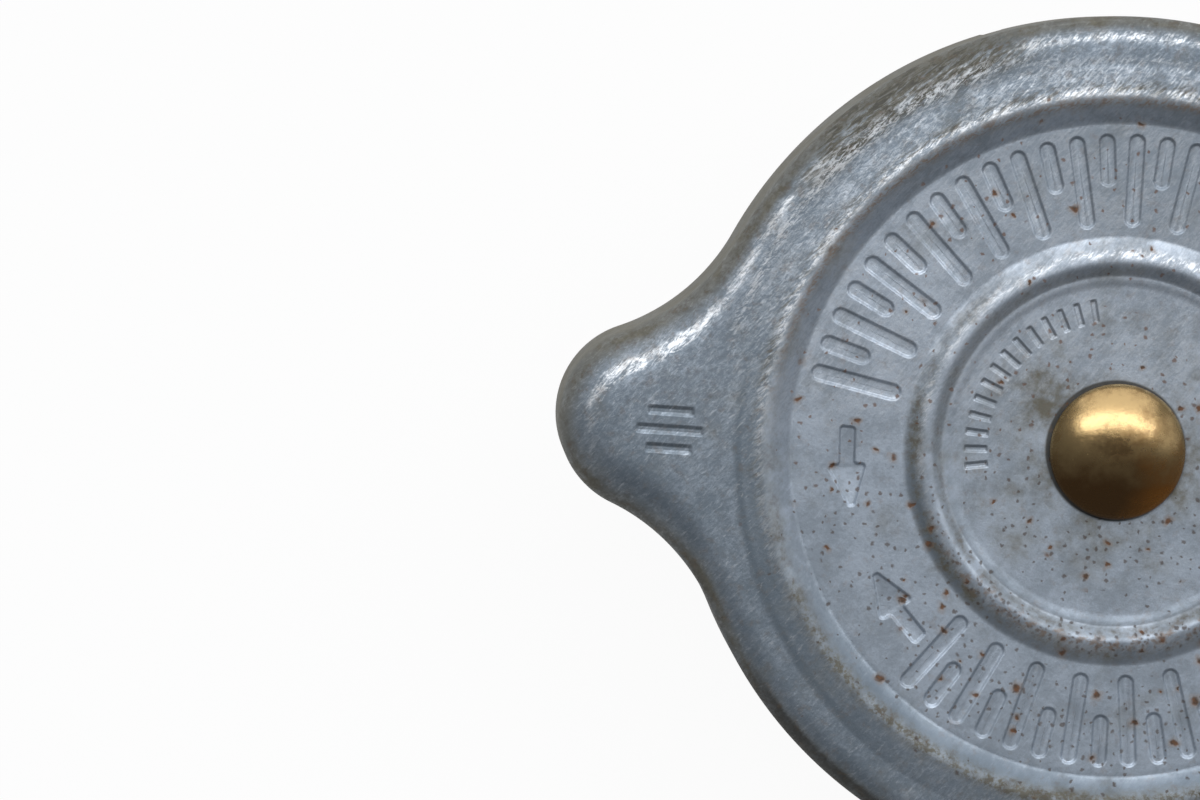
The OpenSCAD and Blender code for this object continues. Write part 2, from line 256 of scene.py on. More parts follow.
class Paint(Graph):
    """Builds one material."""

    def __init__(self, name: str) -> None:
        """Start a material.

        Args:
            name: The material's name.
        """
        self.material = bpy.data.materials.new(name)
        self.material.use_nodes = True
        super().__init__(self.material.node_tree)
        self.spot = self.out("ShaderNodeTexCoord", {}, {}, "Object")
        apart = self.add("ShaderNodeSeparateXYZ", {}, {0: self.spot})
        self.x, self.y, self.z = (Value(self, output) * (1 / MM) for output in apart.outputs)
        self.r = (self.x * self.x + self.y * self.y) ** 0.5

    def turned(self, degrees: float, stretch: Colour) -> Value:
        """Object coordinates along axes turned about Z, so that a texture is stretched along them.

        Args:
            degrees: Direction of the first axis.
            stretch: How many times larger the texture gets along each axis.

        Returns:
            The coordinates.
        """
        sockets = {"Vector": self.spot, "Rotation": (0.0, 0.0, math.radians(degrees)), "Scale": stretch}
        return self.out("ShaderNodeMapping", {"vector_type": "TEXTURE"}, sockets)

    def around(self, length: float, width: float) -> Value:
        """Coordinates that follow circles round the axis, for streaks along them.

        Args:
            length: Length of a streak in millimetres, at the rim.
            width: Width of a streak in millimetres.

        Returns:
            The coordinates.
        """
        spoke = self.r.most(0.5) * (length / (30 * MM))
        sockets = {0: self.x / spoke, 1: self.y / spoke, 2: self.r * (MM / width)}
        return self.out("ShaderNodeCombineXYZ", {}, sockets)

    def cloud(
        self,
        size: float,
        detail: float = 4.0,
        rough: float = 0.55,
        spot: Value | None = None,
        bent: float = 0.0,
    ) -> Value:
        """Fractal noise.

        Args:
            size: Size of its largest blotches in millimetres.
            detail: Number of finer layers.
            rough: Weight of the finer layers.
            spot: Coordinates, if not the object's own.
            bent: How far the noise is bent out of shape.

        Returns:
            A value about 0.5.
        """
        sockets = {"Vector": spot or self.spot, "Scale": 1 / (size * MM), "Detail": detail}
        sockets |= {"Roughness": rough, "Distortion": bent}
        return self.out("ShaderNodeTexNoise", {}, sockets, "Fac")

    def specks(
        self, cell: float, low: float, high: float, share: Any, blur: float = 0.3, flat: bool = False
    ) -> Value:
        """Round specks of different sizes, strewn at random.

        Args:
            cell: Mean distance between specks in millimetres.
            low: Smallest radius in millimetres.
            high: Largest radius in millimetres.
            share: Share of the cells that hold a speck.
            blur: Softness of a speck's edge as a share of its radius.
            flat: Whether the specks are laid out in the XY plane, for faces that lie level.

        Returns:
            A mask from 0 to 1.
        """
        finer = {"Vector": self.spot, "Scale": 2.2 / (cell * MM)}
        wobble = self.out("ShaderNodeTexNoise", {}, finer, "Color")
        shift = {0: wobble, 1: (0.5, 0.5, 0.5)}
        centred = self.out("ShaderNodeVectorMath", {"operation": "SUBTRACT"}, shift)
        moved = {0: centred, 1: (0.5 * cell * MM,) * 3, 2: self.spot}
        spot = self.out("ShaderNodeVectorMath", {"operation": "MULTIPLY_ADD"}, moved)
        settings = {"voronoi_dimensions": "2D" if flat else "3D"}
        cells = self.add("ShaderNodeTexVoronoi", settings, {"Vector": spot, "Scale": 1 / (cell * MM)})
        distance = Value(self, cells.outputs["Distance"])
        chance = self.add("ShaderNodeSeparateColor", {}, {0: cells.outputs["Color"]})
        radius = Value(self, chance.outputs[1]) * ((high - low) / cell) + low / cell
        there = (Value(self, chance.outputs[0]) - 1 + share).rise(0.0, 0.02)
        return there * (1 - distance.rise(radius * (1 - blur), radius * (1 + blur)))

    def mix(self, share: Any, first: Any, second: Any) -> Value:
        """Mix two colours.

        Args:
            share: How much of the second.
            first: The first colour.
            second: The second colour.

        Returns:
            The mixed colour.
        """
        sockets = {"Factor_Float": share, "A_Color": first, "B_Color": second}
        return self.out("ShaderNodeMix", {"data_type": "RGBA"}, sockets, "Result_Color")

    def bump(self, height: Value, depth: float, over: Value | None = None) -> Value:
        """Bump of a height field.

        Args:
            height: The field, about 0 to 1.
            depth: Depth of the relief in millimetres.
            over: The normal that it lies on, if not the surface's own.

        Returns:
            The normal.
        """
        sockets = {"Height": height, "Distance": depth * MM, "Strength": 1.0}
        if over is not None:
            sockets["Normal"] = over
        return self.out("ShaderNodeBump", {}, sockets)

    def finish(self, **sockets: Any) -> Material:
        """Close the material with one shader.

        Args:
            sockets: Inputs of the shader, with spaces in their names as underscores.

        Returns:
            The material.
        """
        named = {name.replace("_", " "): value for name, value in sockets.items()}
        shader = self.out("ShaderNodeBsdfPrincipled", {}, named)
        self.add("ShaderNodeOutputMaterial", {}, {"Surface": shader})
        return self.material


def show(name: str, data: ID) -> Object:
    """A new object in the scene.

    Args:
        name: Its name.
        data: Its mesh, lamp or camera.

    Returns:
        The object.
    """
    item = bpy.data.objects.new(name, data)
    bpy.context.scene.collection.objects.link(item)
    return item


def applied(piece: Object) -> Mesh:
    """A new mesh of an object with its modifiers applied."""
    made = piece.evaluated_get(bpy.context.evaluated_depsgraph_get())
    return bpy.data.meshes.new_from_object(made)


class Recipe(Graph):
    """Builds one Geometry Nodes tree and runs it."""

    def __init__(self, name: str) -> None:
        """Start a tree.

        Args:
            name: The tree's name.
        """
        super().__init__(bpy.data.node_groups.new(name, "GeometryNodeTree"))
        face = self.tree.interface
        face.new_socket("Geometry", in_out="OUTPUT", socket_type="NodeSocketGeometry")
        self.source = self.tree.nodes.new("NodeGroupInput")
        self.sizes: dict[str, float] = {}

    def inlets(self, sizes: dict[str, float]) -> list[Value]:
        """Add named inputs, each for a whole number if its value is one.

        Args:
            sizes: The inputs' names and values.

        Returns:
            The inputs inside the tree.
        """
        made = []
        for name, size in sizes.items():
            kind = "NodeSocketInt" if isinstance(size, int) else "NodeSocketFloat"
            socket = self.tree.interface.new_socket(name, in_out="INPUT", socket_type=kind)
            self.sizes[socket.identifier] = size
            made.append(Value(self, self._find(self.source.outputs, socket.identifier)))
        return made

    def vector(self, x: Any, y: Any, z: Any) -> Value:
        """Three values as one vector."""
        return self.out("ShaderNodeCombineXYZ", {}, {0: x, 1: y, 2: z})

    def run(self, name: str, result: Value, material: Material) -> Object:
        """Close the tree, evaluate it and keep the result as a plain mesh.

        Args:
            name: Name of the new object.
            result: The geometry to keep.
            material: Its material.

        Returns:
            An object without modifiers.
        """
        real = self.out("GeometryNodeRealizeInstances", {}, {0: result})
        dressed = self.out("GeometryNodeSetMaterial", {}, {"Geometry": real, "Material": material})
        self.add("NodeGroupOutput", {}, {0: dressed})
        blank = show(name + "_recipe", bpy.data.meshes.new(name + "_recipe"))
        modifier = blank.modifiers.new(name, "NODES")
        modifier.node_group = self.tree
        for identifier, value in self.sizes.items():
            modifier[identifier] = value
        mesh = applied(blank)
        mesh.name = name
        bpy.data.objects.remove(blank)
        return show(name, mesh)


def arc(centre: Point, radius: float, start: float, end: float, steps: int) -> list[Point]:
    """Points on an arc.

    Args:
        centre: The arc's centre.
        radius: The arc's radius.
        start: First angle in degrees.
        end: Last angle in degrees.
        steps: Number of chords.

    Returns:
        The points, both ends included.
    """
    angles = [math.radians(start + (end - start) * i / steps) for i in range(steps + 1)]
    return [(centre[0] + radius * math.cos(a), centre[1] + radius * math.sin(a)) for a in angles]


def pressed(start: Point, end: Point, steps: int, leave: float = 0.5, arrive: float = 0.5) -> list[Point]:
    """Points on a pressed slope that leaves and arrives level.

    Args:
        start: First point.
        end: Last point.
        steps: Number of chords.
        leave: Share of the width over which it bends away from level.
        arrive: Share of the width over which it bends back.

    Returns:
        The points, both ends included.
    """
    steep = 1 / (1 - (leave + arrive) / 2)
    points = []
    for i in range(steps + 1):
        u = i / steps
        if u < leave:
            climb = steep * u * u / (2 * leave)
        elif u > 1 - arrive:
            climb = 1 - steep * (1 - u) ** 2 / (2 * arrive)
        else:
            climb = steep * (u - leave / 2)
        points.append((start[0] + (end[0] - start[0]) * u, start[1] + (end[1] - start[1]) * climb))
    return points


def rounded(corners: Sequence[Point], radius: float, steps: int = 4) -> list[Point]:
    """A closed outline with its corners rounded.

    Args:
        corners: The outline's corners.
        radius: Radius of the corners, made smaller where two corners are close.
        steps: Chords on each corner.

    Returns:
        The rounded outline.
    """
    outline = []
    for i, corner in enumerate(corners):
        here = np.array(corner)
        back = np.array(corners[i - 1]) - here
        ahead = np.array(corners[(i + 1) % len(corners)]) - here
        room = 0.49 * min(np.linalg.norm(back), np.linalg.norm(ahead))
        back = back / np.linalg.norm(back)
        ahead = ahead / np.linalg.norm(ahead)
        half = math.acos(max(-1.0, min(1.0, float(back @ ahead)))) / 2
        reach = min(room, radius / math.tan(half))
        size = reach * math.tan(half)
        inward = (back + ahead) / np.linalg.norm(back + ahead)
        centre = here + inward * size / math.sin(half)
        first = here + back * reach - centre
        last = here + ahead * reach - centre
        for k in range(steps + 1):
            spoke = first * (1 - k / steps) + last * (k / steps)
            spot = centre + spoke / np.linalg.norm(spoke) * size
            outline.append((float(spot[0]), float(spot[1])))
    return outline


def inset(loop: np.ndarray, distance: float) -> np.ndarray:
    """An outline moved inwards.

    Args:
        loop: Points of an outline that runs counter-clockwise.
        distance: How far it moves, outwards if negative.

    Returns:
        The moved outline, point for point.
    """
    ahead = np.roll(loop, -1, axis=0) - loop
    ahead /= np.linalg.norm(ahead, axis=1)[:, None]
    back = np.roll(ahead, 1, axis=0)
    normal = np.stack([-(ahead[:, 1] + back[:, 1]), ahead[:, 0] + back[:, 0]], axis=1)
    normal /= np.linalg.norm(normal, axis=1)[:, None]
    square = np.maximum(0.5, normal[:, 0] * -ahead[:, 1] + normal[:, 1] * ahead[:, 0])
    return loop + normal * (distance / square)[:, None]


def counter_clockwise(loop: np.ndarray) -> np.ndarray:
    """The outline in counter-clockwise order.

    Args:
        loop: The outline's points.

    Returns:
        The points, in their order or turned round.
    """
    x, y = loop[:, 0], loop[:, 1]
    area = np.sum(x * np.roll(y, -1) - y * np.roll(x, -1))
    return loop if area > 0 else loop[::-1]


def loops_of(mesh: Mesh) -> list[np.ndarray]:
    """Closed outlines of a mesh of loose edges.

    Args:
        mesh: A mesh whose edges form rings.

    Returns:
        One array of points in the XY plane for each ring.
    """
    near: dict[int, list[int]] = {}
    for edge in mesh.edges:
        a, b = edge.vertices
        near.setdefault(a, []).append(b)
        near.setdefault(b, []).append(a)
    left = set(near)
    loops = []
    while left:
        first = min(left)
        chain = [first]
        left.remove(first)
        while True:
            step = [i for i in near[chain[-1]] if i in left]
            if not step:
                break
            chain.append(step[0])
            left.remove(step[0])
        points = np.array([mesh.vertices[i].co[:2] for i in chain])
        loops.append(counter_clockwise(points))
    return loops


def smooth_outwards(mesh: Mesh, sharp: float) -> None:
    """Drop a mesh's loose points, turn its faces outwards and smooth it.

    Args:
        mesh: The mesh.
        sharp: Angle in degrees past which an edge stays sharp.
    """
    work = bmesh.new()
    work.from_mesh(mesh)
    loose = [v for v in work.verts if not v.link_faces]
    bmesh.ops.delete(work, geom=loose, context="VERTS")
    bmesh.ops.recalc_face_normals(work, faces=work.faces)
    work.to_mesh(mesh)
    work.free()
    mesh.shade_smooth()
    mesh.set_sharp_from_angle(angle=math.radians(sharp))


def new_piece(name: str, points: Any, faces: Any, sharp: float = SHARP) -> Object:
    """An object from points in millimetres.

    Args:
        name: The object's name.
        points: Its points.
        faces: Its faces as tuples of point numbers.
        sharp: Angle in degrees past which an edge stays sharp.

    Returns:
        The object, with its faces turned outwards.
    """
    mesh = bpy.data.meshes.new(name)
    mesh.from_pydata([tuple(float(c) * MM for c in p) for p in points], [], faces)
    smooth_outwards(mesh, sharp)
    return show(name, mesh)


def soften(piece: Object, width: float) -> None:
    """Bevel a piece's sharp edges and keep the result as its mesh.

    Args:
        piece: The object.
        width: Width of the bevel in millimetres.
    """
    bevel = piece.modifiers.new("edge", "BEVEL")
    bevel.width = width * MM
    bevel.segments = 2
    bevel.limit_method = "ANGLE"
    bevel.angle_limit = math.radians(SHARP)
    bevel.harden_normals = False
    mesh = applied(piece)
    piece.modifiers.clear()
    old = piece.data
    piece.data = mesh
    bpy.data.meshes.remove(old)
    mesh.shade_smooth()
    mesh.set_sharp_from_angle(angle=math.radians(SHARP_AFTER_BEVEL))


def turned_piece(name: str, section: Sequence[Point], columns: int, sharp: float = SHARP) -> Object:
    """A solid turned about the axis.

    Args:
        name: The object's name.
        section: Closed outline as radius and height, in millimetres.
        columns: Number of steps round the axis.
        sharp: Angle in degrees past which an edge stays sharp.

    Returns:
        The object.
    """
    points: list[tuple[float, float, float]] = []
    rings = []
    for radius, height in section:
        if radius < 1e-6:
            rings.append([len(points)] * columns)
            points.append((0.0, 0.0, height))
            continue
        rings.append([len(points) + k for k in range(columns)])
        for k in range(columns):
            a = 2 * math.pi * k / columns
            points.append((radius * math.cos(a), radius * math.sin(a), height))
    faces = []
    for i, ring in enumerate(rings):
        over = rings[(i + 1) % len(rings)]
        for k in range(columns):
            m = (k + 1) % columns
            face = list(dict.fromkeys([ring[k], ring[m], over[m], over[k]]))
            if len(face) > 2:
                faces.append(tuple(face))
    return new_piece(name, points, faces, sharp)


@dataclass
class Sheet:
    """A pressed sheet: two skins over one grid of cells, closed along every free edge."""

    outer: list[Sequence[float]] = field(default_factory=list)
    inner: list[Sequence[float]] = field(default_factory=list)
    cells: list[tuple[int, ...]] = field(default_factory=list)
    outer_faces: list[tuple[int, ...]] = field(default_factory=list)
    inner_faces: list[tuple[int, ...]] = field(default_factory=list)

    def point(self, outer: Sequence[float], inner: Sequence[float]) -> int:
        """Add a point on both skins.

        Args:
            outer: The point on the outer skin.
            inner: The point on the inner skin.

        Returns:
            Its number.
        """
        self.outer.append(outer)
        self.inner.append(inner)
        return len(self.outer) - 1

    def cell(self, corners: tuple[int, ...], on_outer: bool = True, on_inner: bool = True) -> None:
        """Add a cell.

        Args:
            corners: Its points.
            on_outer: Whether the outer skin gets a face here.
            on_inner: Whether the inner skin gets a face here.
        """
        self.cells.append(corners)
        if on_outer:
            self.outer_faces.append(corners)
        if on_inner:
            self.inner_faces.append(corners)

    def piece(self, name: str, more_points: Any = (), more_faces: Any = ()) -> Object:
        """Close the sheet's free edges and make the object.

        Args:
            name: The object's name.
            more_points: Points that only the outer skin has.
            more_faces: Faces of the outer skin, numbered past its own points.

        Returns:
            The object.
        """
        uses: dict[tuple[int, int], list[tuple[int, int]]] = {}
        for corners in self.cells:
            for a, b in zip(corners, corners[1:] + corners[:1]):
                uses.setdefault((min(a, b), max(a, b)), []).append((a, b))
        shift = len(self.outer) + len(more_points)
        faces = list(self.outer_faces) + list(more_faces)
        faces += [tuple(i + shift for i in reversed(corners)) for corners in self.inner_faces]
        for pairs in uses.values():
            if len(pairs) == 1:
                a, b = pairs[0]
                faces.append((b, a, a + shift, b + shift))
        points = list(self.outer) + list(more_points) + list(self.inner)
        return new_piece(name, points, faces)


class ZincMap:
    """Zones of the cover as soft masks, and the noises that its worn flecks, grime, rust, painted shade and
    painted highlights share.
    """

    def __init__(self, p: Paint) -> None:
        """Lay out the masks and the noises.

        Args:
            p: The material.
        """
        self.p = p
        self._zones(p)
        self._noises(p)

    def _zones(self, p: Paint) -> None:
        """Masks of places on the cover, by height, radius and side, in millimetres.

        Args:
            p: The material.
        """
        spoke = p.r.most(1.0)
        self.top = p.z.rise(22.0, 23.4)
        self.calm = 0.15 + 0.85 * self.top
        # The side masks lay painted shade on the low and left sides and painted highlights on the far and
        # high sides, as well as grime and rust.
        self.low_side = (p.y * -1 + p.x * 0.25).rise(-16.0, 18.0)
        self.far_side = (p.y + p.x * 0.6).rise(2.0, 24.0)
        self.high_side = p.y.rise(-3.0, 5.0)
        self.grimy = ((p.y * 0.819 - p.x * 0.574) / spoke).rise(0.92, 0.99)
        self.left = ((p.x * -0.94 - p.y * 0.34) / spoke).rise(0.70, 0.97)
        self.scuffed = ((p.y * 0.60 - p.x * 0.80) / spoke).rise(0.86, 0.97)
        self.outer = p.r.rise(26.9, 28.6)
        self.on_ear = p.x.size().rise(30.5, 35.5)
        self.on_band = p.r.rise(16.2, 16.8) * (1 - p.r.rise(24.9, 25.4))
        self.bead_flank = p.r.ring(15.9, 0.9)
        self.lowest = self.low_side.rise(0.80, 1.0) * (1 - self.on_ear)
        ledge_z, ledge_r, ear_r = 25.37, 29.9, 31.4
        ledge_lean, ear_lean = 0.061, 0.021
        near = (p.r - ledge_r).most(0.0).least(ear_r - ledge_r) * ledge_lean
        far = (p.r - ear_r).most(0.0) * ear_lean
        sunk = ledge_z - near - far - p.z
        self.bent = sunk * p.r.rise(30.2, 30.9)

    def _noises(self, p: Paint) -> None:
        """Noises from large blotches to fine grain, streaks along the wear, and mixes of them.

        Args:
            p: The material.
        """
        self.drift = p.cloud(9.0, 3.0, 0.5)
        self.patch = p.cloud(4.2, 5.0, 0.65)
        self.mottle = p.cloud(2.6, 6.0, 0.62)
        self.smear = p.cloud(0.9, 5.0, 0.72)
        self.grain = p.cloud(0.42, 4.0, 0.75)
        self.brush = p.cloud(1.0, 3.0, 0.65, p.turned(54.0, (1.2, 0.20, 1.0)), bent=0.9)
        self.rub = p.cloud(1.0, 4.0, 0.7, p.turned(36.0, (0.75, 0.28, 1.0)), bent=1.3)
        self.wiped = p.cloud(1.0, 5.0, 0.72, p.turned(40.0, (1.7, 0.30, 1.0)), bent=0.6)
        self.arcs = p.cloud(1.0, 3.0, 0.65, p.around(7.0, 0.25))
        self.strokes = self.brush * 0.5 + self.rub * 0.5
        self.crisp = self.strokes.rise(0.46, 0.54)
        self.clumps = (self.mottle * 0.45 + self.rub * 0.35 + self.brush * 0.20).rise(0.43, 0.57)
        even = self.mottle * 0.45 + self.drift * 0.22 + self.grain * 0.23 + self.brush * 0.10
        even = even.rise(0.40, 0.60)
        rubbed = self.mottle * 0.20 + self.grain * 0.30 + self.rub * 0.30 + self.brush * 0.20
        rubbed = rubbed.rise(0.42, 0.60)
        self.shade = even + (rubbed - even) * self.outer


@dataclass(frozen=True)
class WornZinc:
    """Zinc plated cover, flecked by use and stained along its edges, with rust breaking through; painted
    shade darkens its low, left and far sides, painted highlights brighten its edges on the far and high
    sides, and a painted shadow rings the rivet.
    """

    pale: Colour = (0.560, 0.630, 0.720)
    dull: Colour = (0.385, 0.435, 0.495)
    dark_zinc_and_shade: Colour = (0.232, 0.280, 0.330)
    bright_wear_and_highlight: Colour = (0.90, 0.92, 0.95)
    olive: Colour = (0.165, 0.150, 0.108)
    soot_and_shade: Colour = (0.045, 0.041, 0.033)
    rust: Colour = (0.170, 0.082, 0.043)
    umber: Colour = (0.082, 0.055, 0.040)
    stain: Colour = (0.290, 0.180, 0.100)
    tick_pitch: float = 6.6
    tick_start: float = 100.0
    tick_end: float = 192.4
    tick_r: float = 10.95
    tick_half: Point = (0.85, 0.20)
    bars: tuple[Point, ...] = ((0.95, 1.7), (-0.5, 2.5), (-1.95, 1.7))
    bars_x: float = -34.6
    bar_half: float = 0.27
    stamp_depth: float = 0.15
    relief_depth: float = 0.034

    def stamps(self, p: Paint) -> Value:
        """Small ticks stamped into the middle of the cover, and three grip bars on one ear.

        Args:
            p: The material.

        Returns:
            A mask of the marks.
        """
        angle = p.y.heading(p.x * -1) * -1 + math.pi
        turn = (angle - math.radians(self.tick_start)) / math.radians(self.tick_pitch)
        across = (turn.fraction() - 0.5) * p.r * math.radians(self.tick_pitch)
        count = (self.tick_end - self.tick_start) / self.tick_pitch
        long, wide = self.tick_half
        marks = across.within(wide, 0.14) * (p.r - self.tick_r).within(long, 0.14)
        marks = marks * (turn - count / 2).within(count / 2, 0.001)
        for middle, half in self.bars:
            bar = (p.x + -self.bars_x).within(half, 0.18) * (p.y - middle).within(self.bar_half, 0.18)
            marks = marks.most(bar)
        return marks * p.z.rise(23.0, 24.0)

    def plating_and_shade(self, m: ZincMap) -> Value:
        """Colour of the zinc itself, darker on ledge and ears and in the pressed folds, with painted shade
        on the band's far side, on the rim slope towards the low side, and on the bead flank and ledge folds
        on the left.

        Args:
            m: The cover's masks and noises.

        Returns:
            The colour.
        """
        p = m.p
        # Painted shade: the band is duller on its far side.
        colour = p.mix(m.shade * (1 - 0.9 * m.far_side * m.on_band), self.dull, self.pale)
        cloudy = (m.drift * 0.5 + m.patch * 0.5).rise(0.42, 0.58)
        # Painted shade: the far side darkens the ledge and ears further.
        darker = 0.48 - 0.26 * cloudy + 0.40 * (1 - m.shade) + 0.14 * m.far_side
        colour = p.mix(m.outer * darker, colour, self.dark_zinc_and_shade)
        # Painted shade: the rim slope and bead foot darken towards the low side, the bead flank and the
        # ledge folds on the left, and the band on the far side.
        rim_slope_shade = p.r.ring(26.1, 1.6) * m.low_side.rise(0.55, 1.0)
        slope = rim_slope_shade + p.r.ring(13.1, 0.5) * m.low_side * 0.5
        slope = slope + m.bead_flank * m.left + m.far_side * m.on_band * 0.28
        left_fold_shade = (p.r.ring(29.35, 0.5) * 0.8 + p.r.ring(28.4, 1.6) * 0.6) * m.left
        return p.mix((slope * 0.85 + left_fold_shade).least(1.0), colour, self.dark_zinc_and_shade)

    def wear_and_highlight(self, m: ZincMap) -> Value:
        """Bare pale flecks on bead, rim crest and shoulder, with fine scratches, made stronger on the far
        and high sides as painted highlights.

        Args:
            m: The cover's masks and noises.

        Returns:
            A mask from 0 to 1.
        """
        p = m.p
        flecked = m.strokes.rise(0.36, 0.60)
        # Painted highlight with worn flecks: the bead's flecks grow stronger towards the far side.
        bead = p.r.ring(15.3, 0.6) * (0.5 + 1.2 * m.far_side) * m.clumps * flecked
        # Painted highlight with worn flecks: the crest's flecks fade towards the low side and on the left.
        rim = p.r.ring(27.75, 0.62) * (0.95 - 0.80 * m.low_side) * (0.30 + 0.70 * m.clumps) * m.crisp
        rim = rim * (1 - 0.35 * m.left)
        edge = m.bent.ring(0.12 + 0.16 * m.on_ear, 0.17 + 0.07 * m.on_ear)
        edge = edge * (0.45 + 0.75 * m.clumps) * flecked * (1 + 0.6 * m.on_ear)
        turned = m.bent.ring(0.10, 0.36) * m.bent.rise(0.01, 0.06) + p.r.ring(30.9, 0.8) * m.scuffed * 0.7
        # Painted highlight with worn flecks: the shoulder's flecks stay on the high side.
        edge = edge.most(turned * (0.10 + 0.90 * m.clumps) * m.crisp) * m.high_side
        worn = (bead + rim + edge) * m.top
        scratch = m.strokes.rise(0.55, 0.67) * (0.12 + 0.48 * m.outer)
        # Painted highlight: the hairlines show only on the far side.
        hairs = m.arcs.rise(0.56, 0.70) * m.outer * m.far_side * 0.3
        clean = 1 - 0.5 * m.grimy * p.r.rise(30.4, 31.4)
        return ((worn * 0.95 + (scratch + hairs) * m.top * 0.65) * clean).least(1.0)

    def dirt_and_shade(self, m: ZincMap) -> tuple[Value, Value]:
        """Grime in the folds, on the skirt and the middle, and round the rivet, with painted shade on the
        low side's shoulder and skirt and on the left bead flank, and a painted shadow in the gap round the
        rivet.

        Args:
            m: The cover's masks and noises.

        Returns:
            A mask of the grime and painted shade, and how black it is.
        """
        p = m.p
        grime = m.grimy * p.r.rise(30.0, 31.4) * (0.35 + 0.65 * m.wiped.rise(0.40, 0.56)) * m.top
        # The shoulder and skirt darken as they turn down from the ledge, more deeply on the ears.
        skirt = m.bent.rise(0.10 + 0.12 * m.on_ear, 0.9 + 0.8 * m.on_ear)
        skirt = skirt * (0.66 + 0.14 * m.patch.rise(0.35, 0.65) + 0.12 * m.bent.rise(2.0, 4.0))
        # Painted shade: the shoulder darkens on the lowest side, and the bead flank on the left.
        skirt = skirt.most(m.bent.rise(0.03, 0.60) * m.lowest * 0.85)
        skirt = skirt.most(grime) + m.bead_flank * m.left * m.smear.rise(0.38, 0.60) * 0.4
        # The folds and bead flanks darken more towards the low side and less on the far side, partly
        # painted shade.
        flank = (p.r.ring(13.95, 0.8) + p.r.ring(15.7, 1.1)) * (1 - m.far_side)
        folds = (p.r.ring(26.95, 1.1) + flank) * (0.65 + 0.35 * m.low_side)
        spread = (m.smear * 0.4 + m.patch * 0.3 + m.grain * 0.3).rise(0.36, 0.66)
        grit = p.r.ring(27.3, 1.2) * m.low_side.rise(0.5, 1.0) * (0.25 + 0.75 * m.grain.rise(0.44, 0.60))
        caught = p.r.ring(28.0, 0.8) * (1 - m.low_side) * m.wiped.rise(0.46, 0.60) * 0.6
        dirt_and_shade = folds * spread * 0.85 + skirt + grit * 0.55 + caught
        disc = (1 - p.r.rise(8.6, 12.6)) * (0.55 + 0.45 * m.scuffed) + p.r.ring(5.8, 2.2) * 0.4
        disc = disc + p.r.ring(11.4, 2.2) * m.left * 0.6
        dirt_and_shade = dirt_and_shade + disc * (m.patch * 0.8 + m.smear * 0.2).rise(0.36, 0.70) * 0.75
        dirt_and_shade = dirt_and_shade + (m.patch.rise(0.50, 0.74) * 0.35 + m.outer * m.smear.rise(0.40, 0.70) * 0.18) * m.calm
        # Painted shadow with grime: a black ring in the gap round the rivet, off centre so that it is wider
        # on the upper left.
        rivet_gap = ((p.x + 0.14) ** 2.0 + (p.y - 0.07) ** 2.0) ** 0.5
        crevice_shadow_and_grime = 1 - rivet_gap.rise(5.30, 5.62)
        black = (m.smear.rise(0.42, 0.66) * (0.12 + 0.33 * p.r.rise(11.0, 13.0)) * m.calm).most(crevice_shadow_and_grime)
        black = black.most(grime * m.wiped.rise(0.46, 0.62) * 0.7)
        # Painted shade: the shoulder turns black towards the low side.
        black = black.most(m.bent.rise(0.3, 1.7) * m.low_side * 0.85)
        black = black.most(m.bent.rise(0.05, 0.6) * m.lowest * 0.9)
        return dirt_and_shade.most(crevice_shadow_and_grime).least(0.92), black

    def rusted(self, m: ZincMap, colour: Value) -> tuple[Value, Value, Value, Value]:
        """Rust specks with brown halos, denser towards the low side and on the bead there.

        Args:
            m: The cover's masks and noises.
            colour: The colour under them.

        Returns:
            The colour with the specks, and masks of the large specks, of all specks and of the halos.
        """
        p = m.p
        fields = p.r.ring(21.0, 5.6).most(1 - p.r.rise(9.0, 13.0)).most(p.r.ring(14.6, 1.5))
        wet = m.low_side * (0.55 + 0.45 * m.drift.rise(0.40, 0.58))
        share = (0.30 + 0.66 * wet) * (0.22 + 0.78 * fields) * (1 - 0.85 * m.outer) * m.top
        bead_low = p.r.ring(14.9, 1.2) * m.low_side.rise(0.45, 0.9)
        large = p.specks(1.55, 0.11, 0.27, share * 0.34, blur=0.45, flat=True)
        halo = p.specks(1.55, 0.18, 0.46, share * 0.34, blur=0.8, flat=True)
        small = p.specks(0.82, 0.065, 0.16, share * 0.85, blur=0.5, flat=True) * 0.75
        dense = p.specks(0.50, 0.06, 0.17, bead_low * 0.80, blur=0.7, flat=True) * 0.65
        colour = p.mix((halo * 0.6).most(bead_low * m.smear.rise(0.48, 0.62) * 0.6), colour, self.stain)
        colour = p.mix(small.most(dense), colour, p.mix(m.low_side.rise(0.1, 0.6), self.rust, self.umber))
        colour = p.mix(large, colour, p.mix(m.grain.rise(0.42, 0.62), self.rust, self.umber))
        return colour, large, large.most(small).most(dense), halo

    def material(self) -> Material:
        """The finish as a material.

        Returns:
            The material.
        """
        p = Paint("worn_zinc")
        m = ZincMap(p)
        light = self.wear_and_highlight(m)
        dirt_and_shade, black = self.dirt_and_shade(m)
